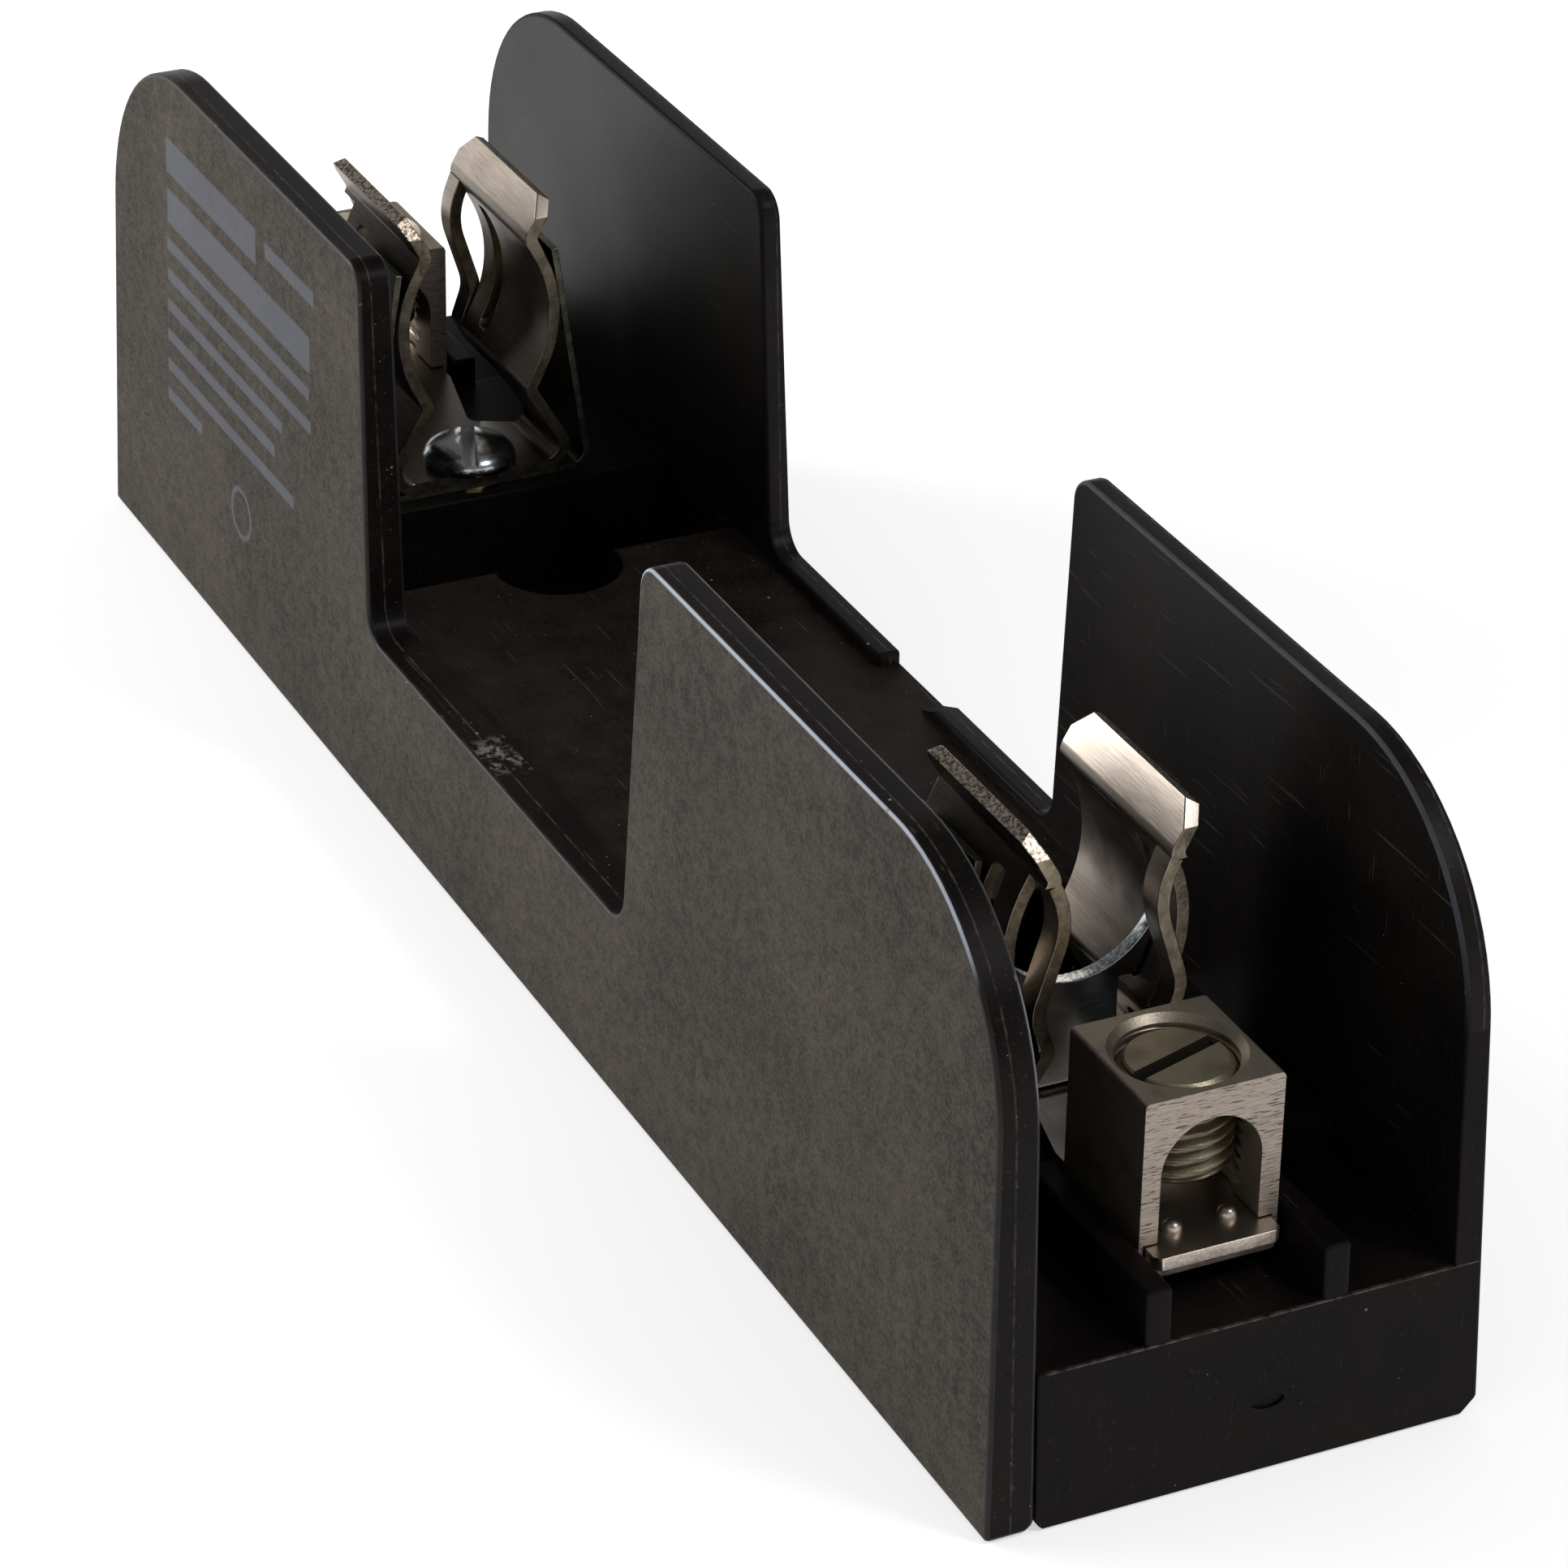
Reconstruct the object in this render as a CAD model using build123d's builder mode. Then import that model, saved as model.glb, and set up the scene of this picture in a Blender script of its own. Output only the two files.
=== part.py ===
from build123d import *
from math import atan2, cos, radians, sin, tan
import os

# A single-pole fuse block for one cartridge fuse with ferrules, in millimetres.
#
# Frame: origin under the middle of the block, +X towards the end with the rejection plate,
# -Y towards the separate side plate, +Z up. The metal parts of one end are drawn about the
# lane's centre line, as the end at +X, and the far ones are the same parts turned half round.

os.makedirs("parts", exist_ok=True)

# Moulded body
LENGTH = 178.0
WIDTH = 39.7
EAR_TOP = 48.1
EAR_RADIUS = 16.6
EAR_TIP_RADIUS = 2.4
GAP_CORNER_RADIUS = 2.6
GAP_HALF = 26.0
GAP_HALF_AT_TOP = 28.1
END_LEAN = 0.045
SIDE_LEAN = 0.018
INNER_LEAN = 0.009
SEAM_Y = -16.0
WALL_INNER_Y = 17.4
LEFT_RIM = 15.75
RIGHT_RIM = 16.3
RIM_NOTCH_DEPTH = 1.1
RIM_NOTCH_X0 = -4.7
RIM_NOTCH_X1 = 3.4
RIM_NOTCH_RAMP = 2.6
FOOT_CHAMFER = 1.1
SEAM_CHAMFER = 0.6

# How far a cutting profile reaches past the solid, and the slack of a search for a corner
PAST = 1.0
SLACK = 0.1

# Levels and lengths of the moulded floor
FLOOR = 15.2
FLOOR_HALF = 33.4
FLOOR_EMBED = 0.6
WELL_FLOOR = 4.4
PLATFORM = 14.6
PLATFORM_INNER = 48.3
PLATFORM_OUTER = 70.7
BAY_FLOOR = 12.65
BAY_FLOOR_INNER = 11.8
BAY_EDGE = 4.0

# The lane that the fuse lies in
LANE_Y = 0.6

# Mounting holes
MOUNT_SPACING = 65.0
MOUNT_RADIUS = 2.75
MOUNT_HEAD_RADIUS = 5.4

# Fins that keep the lug from turning
FIN_EMBED = 0.5
FIN_INNER = 6.05
FIN_THICKNESS = 2.1
FIN_TOP = 17.0

# Pegs that hold the side plate
PEG_RADIUS = 2.4
PEG_LENGTH = 5.0
PEG_CLEARANCE = 0.05
PEG_HOLE_DEPTH = 5.3
PEG_HEIGHT = 6.5
PEG_X = 79.0

# Fuse clip, a stamping of springy sheet with a tongue that reaches into the lug
CLIP_T = 1.1
SPRING_T = 0.65
CLIP_BASE = PLATFORM + SPRING_T
CLIP_TOP = CLIP_BASE + CLIP_T
CLIP_X0 = 49.6
CLIP_X1 = 66.7
CLIP_FOOT = 8.3
CREASE = (4.2, 23.3)
NECK = (4.2, 37.7)
LIP = (6.2, 41.2)
BULGE_APEX = 7.8
LEAF_REACH = CLIP_FOOT + CLIP_T + PAST
BASE_RADIUS = 1.2
BULGE_RADIUS = 10.9
CREASE_RADIUS = 1.1
NECK_RADIUS = 1.5
LEG_X1 = 57.6
LEG_TOP = 20.9
THROAT_RADIUS = 3.0

# Openings stamped in each leaf
SLOT_X0 = 59.9
SLOT_X1 = 61.75
SLOT_Z0 = 24.6
SLOT_Z1 = 36.2
SLOT_CORNER = 0.5
STRIP_X0 = 64.25
STRIP_GAP = 0.25
STRIP_Z0 = 23.9
STRIP_Z1 = 37.2
STRIP_FOOT_DROP = 1.0
STRIP_HOLLOW = (5.35, 26.6)
STRIP_CROWN = (3.0, 34.0)
STRIP_END = (4.35, 37.4)
STRIP_RADII = [CREASE_RADIUS, 3.0, 7.0]
LIP_CORNER = 1.7

# Tongue
TONGUE_END = 84.0
TONGUE_HALF = 5.05
TONGUE_ROOT_X = 55.6
TONGUE_ROOT_HALF = 6.9
TONGUE_FLARE_X = 68.7
TONGUE_CHAMFER = 0.5
WAIST_HALF = 3.0
WAIST_X = 59.5
WAIST_RADIUS = 1.2
BUMP_RADIUS = 0.75
BUMP_HEIGHT = 0.8
BUMP_X = 80.9
BUMP_Y = 2.2

# Outer spring
SPRING_X0 = 50.0
SPRING_X1 = 59.7
SPRING_TOP = 36.2
SPRING_BEND_RADIUS = 1.0
SPRING_LEAN = 8.6
TOUCH_GAP = 0.06

# Rejection plate
PLATE_T = 1.2
PLATE_X0 = 60.25
PLATE_ARC_RADIUS = 6.9
PLATE_ARC_Z = 32.4
PLATE_HORN = 29.2
PLATE_HALF = 8.0
PLATE_STEM = 3.6
PLATE_WIDEN_Z = 24.9
PLATE_FOOT_X0 = 47.9
PLATE_BEND_RADIUS = 0.6
PLATE_BEND_TOP = 3.5

# Clip screw and the threaded insert that it goes into
SCREW_X = 52.4
SCREW_R = 2.08
SCREW_HOLE_R = 2.2
SCREW_TIP = 6.6
SCREW_HEAD_R = 4.1
SCREW_HEAD_RIM = 0.7
SCREW_HEAD_STEPS = [(0.7, 26), (0.6, 52), (0.4, 70)]
SCREW_HEAD_H = SCREW_HEAD_RIM + sum(rise for rise, lean in SCREW_HEAD_STEPS)
SCREW_SLOT = 1.1
SCREW_SLOT_DEPTH = 1.3
INSERT_R = 3.0
INSERT_Z0 = 5.2
INSERT_Z1 = 14.2
INSERT_END = 0.8
THREAD_GAP = 0.03

# Lug and its wire screw
LUG_X0 = 70.9
LUG_X1 = 82.2
LUG_HALF = 5.56
LUG_CORNER_RADIUS = 0.35
LUG_Z0 = 13.45
LUG_Z1 = 28.2
LUG_OPEN_HALF = 4.0
LUG_OPEN_TOP = 25.8
LUG_SLOT_CLEARANCE = 0.08
LUG_RIM_CHAMFER = 0.55
WIRE_SCREW_R = 4.45
WIRE_SCREW_CLEARANCE = 0.06
WIRE_SCREW_Z0 = 19.4
WIRE_SCREW_Z1 = 27.6
WIRE_SCREW_CHAMFER = 0.7
WIRE_SLOT = 1.15
WIRE_SLOT_DEPTH = 1.8
WIRE_SLOT_TURN = 107.3

NEAR = Location((0, LANE_Y, 0))
FAR = Location((0, LANE_Y, 0), (0, 0, 180))
HALF_LENGTH = LENGTH / 2
HALF_WIDTH = WIDTH / 2


def side_outline(rim, notch=False):
    """The outline of a side wall in the sketch of a Plane.XZ: two ears and the gap between them."""
    end_top = HALF_LENGTH - END_LEAN * EAR_TOP
    arc_foot = EAR_TOP - EAR_RADIUS
    end_arc = HALF_LENGTH - END_LEAN * arc_foot
    with BuildSketch(mode=Mode.PRIVATE) as sketch:
        with BuildLine():
            foot = Line((0, 0), (HALF_LENGTH, 0))
            end = Line(foot @ 1, (end_arc, arc_foot))
            arc = TangentArc(end @ 1, (end_top - EAR_RADIUS, EAR_TOP), tangent=end % 1)
            Polyline(arc @ 1, (GAP_HALF_AT_TOP, EAR_TOP), (GAP_HALF, rim), (0, rim), (0, 0))
        make_face()
        mirror(about=Plane.YZ)
        if notch:
            with BuildLine():
                notch_floor = rim - RIM_NOTCH_DEPTH
                ramp_end = RIM_NOTCH_X1 + RIM_NOTCH_RAMP
                Polyline(
                    (RIM_NOTCH_X0, rim + PAST),
                    (RIM_NOTCH_X0, notch_floor),
                    (RIM_NOTCH_X1, notch_floor),
                    (ramp_end, rim),
                    (ramp_end, rim + PAST),
                    close=True,
                )
            make_face(mode=Mode.SUBTRACT)
        tops = [v for v in sketch.vertices() if v.Y > EAR_TOP - SLACK]
        tips = [v for v in tops if abs(v.X) < GAP_HALF_AT_TOP + SLACK]
        fillet(tips, EAR_TIP_RADIUS)
        rims = [v for v in sketch.vertices() if abs(v.Y - rim) < SLACK]
        corners = [v for v in rims if abs(v.X) > GAP_HALF - SLACK]
        fillet(corners, GAP_CORNER_RADIUS)
    return sketch.sketch


def floor_outline():
    """The section of the moulded floor along the block, in the sketch of a Plane.XZ."""
    with BuildSketch(mode=Mode.PRIVATE) as sketch:
        with BuildLine():
            Polyline(
                (0, 0),
                (HALF_LENGTH, 0),
                (HALF_LENGTH - END_LEAN * BAY_FLOOR, BAY_FLOOR),
                (HALF_LENGTH - BAY_EDGE, BAY_FLOOR),
                (PLATFORM_OUTER, BAY_FLOOR_INNER),
                (PLATFORM_OUTER, PLATFORM),
                (PLATFORM_INNER, PLATFORM),
                (PLATFORM_INNER, WELL_FLOOR),
                (FLOOR_HALF, WELL_FLOOR),
                (FLOOR_HALF, FLOOR),
                (0, FLOOR),
                (0, 0),
            )
        make_face()
        mirror(about=Plane.YZ)
    return sketch.sketch


def bottom_edge(part, y):
    """The long edge of the underside that is nearest to this y."""
    return part.edges().filter_by(Axis.X).group_by(Axis.Z)[0].sort_by_distance((0, y, 0))[0]


def plane_at_y(y):
    """An XZ sketch plane at this y; a positive extrusion goes towards -Y."""
    return Plane.XZ.offset(-y)


with BuildPart() as base_block:
    with BuildSketch(plane_at_y(HALF_WIDTH)):
        add(side_outline(RIGHT_RIM, notch=True))
    extrude(amount=HALF_WIDTH - WALL_INNER_Y + PAST)
    inner_face = Plane((0, WALL_INNER_Y, FLOOR), z_dir=(0, 1, INNER_LEAN))
    split(bisect_by=inner_face, keep=Keep.TOP)
    with BuildSketch(plane_at_y(WALL_INNER_Y + FLOOR_EMBED)):
        add(floor_outline())
    extrude(amount=WALL_INNER_Y + FLOOR_EMBED - SEAM_Y)
    outer_face = Plane((0, HALF_WIDTH, 0), z_dir=(0, 1, SIDE_LEAN))
    split(bisect_by=outer_face, keep=Keep.BOTTOM)
    chamfer(bottom_edge(base_block, HALF_WIDTH), FOOT_CHAMFER)
    chamfer(bottom_edge(base_block, SEAM_Y), SEAM_CHAMFER)
    for end in (1, -1):
        for side in (1, -1):
            fin_y = LANE_Y + side * (FIN_INNER + FIN_THICKNESS / 2)
            with BuildSketch(plane_at_y(fin_y)):
                with BuildLine():
                    Polyline(
                        (end * (PLATFORM_OUTER - FIN_EMBED), BAY_FLOOR_INNER - PAST),
                        (end * (HALF_LENGTH - END_LEAN * BAY_FLOOR), BAY_FLOOR - PAST),
                        (end * (HALF_LENGTH - END_LEAN * FIN_TOP), FIN_TOP),
                        (end * (PLATFORM_OUTER - FIN_EMBED), FIN_TOP),
                        close=True,
                    )
                make_face()
            extrude(amount=FIN_THICKNESS / 2, both=True)
        with Locations((end * MOUNT_SPACING / 2, LANE_Y, FLOOR)):
            CounterBoreHole(MOUNT_RADIUS, MOUNT_HEAD_RADIUS, FLOOR - WELL_FLOOR)
        with Locations((end * SCREW_X, LANE_Y, PLATFORM)):
            Hole(INSERT_R, depth=PLATFORM - INSERT_Z0)
    with BuildSketch(plane_at_y(SEAM_Y)):
        with Locations((-PEG_X, PEG_HEIGHT), (PEG_X, PEG_HEIGHT)):
            Circle(PEG_RADIUS + PEG_CLEARANCE)
    extrude(amount=-PEG_HOLE_DEPTH, mode=Mode.SUBTRACT)

with BuildPart() as side_plate:
    with BuildSketch(plane_at_y(SEAM_Y)):
        add(side_outline(LEFT_RIM))
    extrude(amount=HALF_WIDTH + SEAM_Y)
    split(bisect_by=Plane((0, -HALF_WIDTH, 0), z_dir=(0, -1, SIDE_LEAN)), keep=Keep.BOTTOM)
    chamfer(bottom_edge(side_plate, SEAM_Y), SEAM_CHAMFER)
    with BuildSketch(plane_at_y(SEAM_Y)):
        with Locations((-PEG_X, PEG_HEIGHT), (PEG_X, PEG_HEIGHT)):
            Circle(PEG_RADIUS)
    extrude(amount=-PEG_LENGTH)


def bulge_centre():
    """The centre of the round part of a leaf's inner face, as (half distance, height)."""
    run_low = (BULGE_APEX - CREASE[0], apex_height() - CREASE[1])
    half_turn = atan2(run_low[1], run_low[0])
    return BULGE_APEX - BULGE_RADIUS / sin(half_turn), apex_height()


def apex_height():
    return (CREASE[1] + NECK[1]) / 2


def leaf_points():
    """The inner face of one half of the clip, from the middle of its base to its lip."""
    return [(0, CLIP_TOP), (CLIP_FOOT, CLIP_TOP), CREASE, (BULGE_APEX, apex_height()), NECK, LIP]


def sheet_section(points, radii, thickness, side):
    """A section of bent sheet in the sketch of a Plane.YZ: one face's line, thickened to one side."""
    with BuildSketch(mode=Mode.PRIVATE) as sketch:
        with BuildLine():
            FilletPolyline(*points, radius=radii)
            offset(amount=thickness, side=side)
        make_face()
    return sketch.sketch


def build_clip():
    """The clip of the end at +X, about the lane's centre line."""
    leaf_radii = [BASE_RADIUS, CREASE_RADIUS, BULGE_RADIUS, NECK_RADIUS]
    leaf = sheet_section(leaf_points(), leaf_radii, CLIP_T, Side.RIGHT)
    leg_slope = (CLIP_FOOT - CREASE[0]) / (CREASE[1] - CLIP_TOP)
    strip_foot = (CREASE[0] + leg_slope * STRIP_FOOT_DROP, CREASE[1] - STRIP_FOOT_DROP)
    strip_line = [strip_foot, CREASE, STRIP_HOLLOW, STRIP_CROWN, STRIP_END]
    strip = sheet_section(strip_line, STRIP_RADII, CLIP_T, Side.RIGHT)
    with BuildPart() as clip:
        with BuildSketch(Plane.YZ.offset(CLIP_X0)):
            add(leaf)
        extrude(amount=CLIP_X1 - CLIP_X0)
        with BuildSketch(Plane.XZ) as below_leaf:
            with BuildLine():
                Polyline(
                    (LEG_X1, CLIP_BASE - PAST),
                    (LEG_X1, LEG_TOP),
                    (CLIP_X1 + PAST, LEG_TOP),
                    (CLIP_X1 + PAST, CLIP_BASE - PAST),
                    close=True,
                )
            make_face()
            inner_corner = below_leaf.vertices().group_by(Axis.X)[0].sort_by(Axis.Y)[-1]
            fillet(inner_corner, THROAT_RADIUS)
        extrude(amount=-LEAF_REACH, mode=Mode.SUBTRACT)
        with BuildSketch(Plane.XZ):
            with Locations(((SLOT_X0 + SLOT_X1) / 2, (SLOT_Z0 + SLOT_Z1) / 2)):
                RectangleRounded(SLOT_X1 - SLOT_X0, SLOT_Z1 - SLOT_Z0, SLOT_CORNER)
            with Locations(((STRIP_X0 + CLIP_X1 + PAST) / 2, (STRIP_Z0 + STRIP_Z1) / 2)):
                Rectangle(CLIP_X1 + PAST - STRIP_X0, STRIP_Z1 - STRIP_Z0)
            with Locations((CLIP_X0, LIP[1]), (CLIP_X1, LIP[1])):
                RegularPolygon(LIP_CORNER, 4)
        extrude(amount=-LEAF_REACH, mode=Mode.SUBTRACT)
        with BuildSketch(Plane.YZ.offset(STRIP_X0 + STRIP_GAP)):
            add(strip)
        extrude(amount=CLIP_X1 - STRIP_X0 - STRIP_GAP)
        mirror(about=Plane.XZ)
        with BuildSketch(Plane.XY.offset(CLIP_BASE)) as tongue:
            with BuildLine():
                Polyline(
                    (TONGUE_ROOT_X, 0),
                    (TONGUE_ROOT_X, TONGUE_ROOT_HALF),
                    (LEG_X1, TONGUE_ROOT_HALF),
                    (WAIST_X, WAIST_HALF),
                    (TONGUE_FLARE_X, TONGUE_HALF),
                    (TONGUE_END, TONGUE_HALF),
                    (TONGUE_END, 0),
                    close=True,
                )
            make_face()
            waist = tongue.vertices().sort_by_distance((WAIST_X, WAIST_HALF, 0))[0]
            fillet(waist, WAIST_RADIUS)
            mirror(about=Plane.XZ)
            ends = tongue.vertices().group_by(Axis.X)[-1]
            chamfer([v for v in ends if abs(v.Y) > SLACK], TONGUE_CHAMFER)
        extrude(amount=CLIP_T)
        with BuildSketch(Plane.XY.offset(CLIP_TOP)):
            with Locations((BUMP_X, BUMP_Y), (BUMP_X, -BUMP_Y)):
                Circle(BUMP_RADIUS)
        extrude(amount=BUMP_HEIGHT)
        with Locations((SCREW_X, 0, CLIP_TOP)):
            Hole(SCREW_HOLE_R)
    return clip.part


def build_spring():
    """The spring that backs the clip's leaves, about the lane's centre line."""
    centre_y, centre_z = bulge_centre()
    reach = BULGE_RADIUS + CLIP_T + TOUCH_GAP
    lean = radians(SPRING_LEAN)
    touch = (centre_y + reach * cos(lean), centre_z + reach * sin(lean))
    foot = (touch[0] + (touch[1] - CLIP_BASE) * tan(lean), CLIP_BASE)
    top = (touch[0] - (SPRING_TOP - touch[1]) * tan(lean), SPRING_TOP)
    section = sheet_section([(0, CLIP_BASE), foot, top], [SPRING_BEND_RADIUS], SPRING_T, Side.RIGHT)
    with BuildPart() as spring:
        with BuildSketch(Plane.YZ.offset(SPRING_X0)):
            add(section)
        extrude(amount=SPRING_X1 - SPRING_X0)
        mirror(about=Plane.XZ)
        with Locations((SCREW_X, 0, CLIP_BASE)):
            Hole(SCREW_HOLE_R)
    return spring.part


def build_rejection_plate():
    """The upright plate that lets in only a fuse with the matching groove."""
    foot_top = CLIP_TOP + PLATE_T
    with BuildPart() as plate:
        with BuildSketch(Plane.YZ.offset(PLATE_X0)) as upright:
            with BuildLine():
                Polyline(
                    (0, CLIP_TOP + PLATE_BEND_RADIUS),
                    (PLATE_STEM, CLIP_TOP + PLATE_BEND_RADIUS),
                    (PLATE_STEM, PLATE_WIDEN_Z),
                    (PLATE_HALF, PLATE_WIDEN_Z),
                    (PLATE_HALF, PLATE_HORN),
                    (0, PLATE_HORN),
                    close=True,
                )
            make_face()
            mirror(about=Plane.YZ)
            with Locations((0, PLATE_ARC_Z)):
                Circle(PLATE_ARC_RADIUS, mode=Mode.SUBTRACT)
        extrude(amount=PLATE_T)
        with BuildSketch(Plane.XZ) as bend:
            with BuildLine():
                FilletPolyline(
                    (PLATE_FOOT_X0, CLIP_TOP),
                    (PLATE_X0 + PLATE_T, CLIP_TOP),
                    (PLATE_X0 + PLATE_T, CLIP_TOP + PLATE_BEND_TOP),
                    radius=PLATE_BEND_RADIUS + PLATE_T,
                )
                offset(amount=PLATE_T, side=Side.LEFT)
            make_face()
        extrude(amount=PLATE_STEM, both=True)
        with Locations((SCREW_X, 0, foot_top)):
            Hole(SCREW_HOLE_R)
    return plate.part


def build_clip_screw(seat):
    """A slotted round-head screw whose head sits at this height."""
    with BuildPart() as screw:
        with BuildSketch(Plane.XY.offset(seat)):
            Circle(SCREW_HEAD_R)
        extrude(amount=SCREW_HEAD_RIM)
        for rise, lean in SCREW_HEAD_STEPS:
            extrude(screw.faces().sort_by(Axis.Z)[-1], amount=rise, taper=lean)
        with BuildSketch(Plane.XY.offset(SCREW_TIP)):
            Circle(SCREW_R)
        extrude(amount=seat - SCREW_TIP)
        with BuildSketch(Plane.XY.offset(seat + SCREW_HEAD_H)):
            Rectangle(2 * SCREW_HEAD_R + PAST, SCREW_SLOT)
        extrude(amount=-SCREW_SLOT_DEPTH, mode=Mode.SUBTRACT)
    return screw.part.moved(Location((SCREW_X, 0, 0)))


def build_clip_insert():
    """The tapped bush moulded into the platform."""
    with BuildPart() as insert:
        with BuildSketch(Plane.XY.offset(INSERT_Z0)):
            Circle(INSERT_R)
        extrude(amount=INSERT_Z1 - INSERT_Z0)
        with Locations((0, 0, INSERT_Z1)):
            Hole(SCREW_R + THREAD_GAP, depth=INSERT_Z1 - INSERT_Z0 - INSERT_END)
    return insert.part.moved(Location((SCREW_X, 0, 0)))


def build_lug():
    """The box lug: a length of extrusion with an arched opening, a tapped top and side slots."""
    centre_x = (LUG_X0 + LUG_X1) / 2
    slot_z0 = CLIP_BASE - LUG_SLOT_CLEARANCE
    slot_z1 = CLIP_TOP + LUG_SLOT_CLEARANCE
    with BuildPart() as lug:
        with BuildSketch(Plane.YZ.offset(LUG_X0)) as section:
            with Locations((0, (LUG_Z0 + LUG_Z1) / 2)):
                RectangleRounded(2 * LUG_HALF, LUG_Z1 - LUG_Z0, LUG_CORNER_RADIUS)
            with Locations((0, (slot_z0 + slot_z1) / 2)):
                slot_half = TONGUE_HALF + LUG_SLOT_CLEARANCE
                Rectangle(2 * slot_half, slot_z1 - slot_z0, mode=Mode.SUBTRACT)
            arch_z = LUG_OPEN_TOP - LUG_OPEN_HALF
            with Locations((0, arch_z)):
                Circle(LUG_OPEN_HALF, mode=Mode.SUBTRACT)
            with Locations((0, (slot_z0 + arch_z) / 2)):
                Rectangle(2 * LUG_OPEN_HALF, arch_z - slot_z0, mode=Mode.SUBTRACT)
        extrude(amount=LUG_X1 - LUG_X0)
        with Locations((centre_x, 0, LUG_Z1)):
            Hole(WIRE_SCREW_R + WIRE_SCREW_CLEARANCE, depth=LUG_Z1 - slot_z1)
        rim = lug.edges().filter_by(GeomType.CIRCLE).group_by(Axis.Z)[-1]
        chamfer(rim, LUG_RIM_CHAMFER)
    return lug.part


def build_wire_screw():
    """The screw that clamps the wire, drawn as backed off from the tongue."""
    with BuildPart() as screw:
        with Locations((0, 0, WIRE_SCREW_Z0)):
            height = WIRE_SCREW_Z1 - WIRE_SCREW_Z0
            Cylinder(WIRE_SCREW_R, height, align=(Align.CENTER, Align.CENTER, Align.MIN))
        chamfer(screw.edges().filter_by(GeomType.CIRCLE), WIRE_SCREW_CHAMFER)
        with BuildSketch(Plane.XY.offset(WIRE_SCREW_Z1)):
            Rectangle(2 * WIRE_SCREW_R + PAST, WIRE_SLOT, rotation=WIRE_SLOT_TURN)
        extrude(amount=-WIRE_SLOT_DEPTH, mode=Mode.SUBTRACT)
    return screw.part.moved(Location(((LUG_X0 + LUG_X1) / 2, 0, 0)))


pieces = {"base_block": base_block.part, "side_plate": side_plate.part}
clip = build_clip()
spring = build_spring()
insert = build_clip_insert()
lug = build_lug()
wire_screw = build_wire_screw()
for end_name, place in (("near", NEAR), ("far", FAR)):
    pieces[f"clip_{end_name}"] = clip.moved(place)
    pieces[f"spring_{end_name}"] = spring.moved(place)
    pieces[f"clip_insert_{end_name}"] = insert.moved(place)
    pieces[f"lug_{end_name}"] = lug.moved(place)
    pieces[f"lug_screw_{end_name}"] = wire_screw.moved(place)
pieces["rejection_plate"] = build_rejection_plate().moved(NEAR)
pieces["clip_screw_near"] = build_clip_screw(CLIP_TOP + PLATE_T).moved(NEAR)
pieces["clip_screw_far"] = build_clip_screw(CLIP_TOP).moved(FAR)

for name, piece in pieces.items():
    piece.label = name
    export_step(piece, f"parts/{name}.step")
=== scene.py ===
# %% [markdown]
# # Dressing a fuse block
# The block comes out of CAD as plain solids that already have the right shape and size. In this lesson
# they get what a photograph shows and a solid doesn't: softened and worn edges, screw threads, saw marks
# on the aluminium lugs, dust in the moulded floor, and a faint blank label on the side plate. The frame is
# the CAD model itself, in metres, so nothing has to be fitted by eye.

# %% Load the frame
from math import pi, radians

import bmesh
import bpy
from mathutils import Matrix, Vector


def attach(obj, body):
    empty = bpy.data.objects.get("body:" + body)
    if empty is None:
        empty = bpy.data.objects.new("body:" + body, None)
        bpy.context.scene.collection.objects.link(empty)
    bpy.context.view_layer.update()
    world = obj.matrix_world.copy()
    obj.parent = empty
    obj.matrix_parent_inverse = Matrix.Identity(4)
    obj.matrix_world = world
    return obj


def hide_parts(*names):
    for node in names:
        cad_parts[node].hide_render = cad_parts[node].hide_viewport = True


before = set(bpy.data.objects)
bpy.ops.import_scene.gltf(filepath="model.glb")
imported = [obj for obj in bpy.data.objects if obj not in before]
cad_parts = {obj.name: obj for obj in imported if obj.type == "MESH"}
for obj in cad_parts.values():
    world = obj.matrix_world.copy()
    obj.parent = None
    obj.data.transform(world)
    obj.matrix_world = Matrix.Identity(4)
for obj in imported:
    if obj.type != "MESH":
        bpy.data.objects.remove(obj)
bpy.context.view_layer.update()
MM = 0.001
print("pieces in the frame:", sorted(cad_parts))

# %% [markdown]
# ## The camera
# The photograph was taken from beyond the near end, a little to the side plate's side, less than half a
# metre away and with a long lens. Its place was worked out from the straight edges of the block. A camera
# in Blender looks along its own -Z, so a quaternion that tracks the view direction turns it, and the small
# roll of the hand is added last.

# %% Camera
CAMERA_PLACE = Vector((378.96, -176.88, 244.20)) * MM
CAMERA_TARGET = Vector((17.86, -1.96, 20.0)) * MM
CAMERA_ROLL = radians(1.04)
LENS_MM = 134.62
SENSOR_MM = 36.0
NEAREST_SEEN = 0.01
FARTHEST_SEEN = 20.0

camera_data = bpy.data.cameras.new("camera")
camera = bpy.data.objects.new("camera", camera_data)
bpy.context.scene.collection.objects.link(camera)
view_direction = CAMERA_TARGET - CAMERA_PLACE
turn = view_direction.to_track_quat("-Z", "Y").to_matrix() @ Matrix.Rotation(CAMERA_ROLL, 3, "Z")
camera.matrix_world = Matrix.Translation(CAMERA_PLACE) @ turn.to_4x4()
camera_data.lens = LENS_MM
camera_data.sensor_width = SENSOR_MM
camera_data.clip_start = NEAREST_SEEN
camera_data.clip_end = FARTHEST_SEEN
bpy.context.scene.camera = camera
bpy.context.scene.view_settings.view_transform = "Standard"
print("camera to target:", round(view_direction.length, 3), "m")

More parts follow.
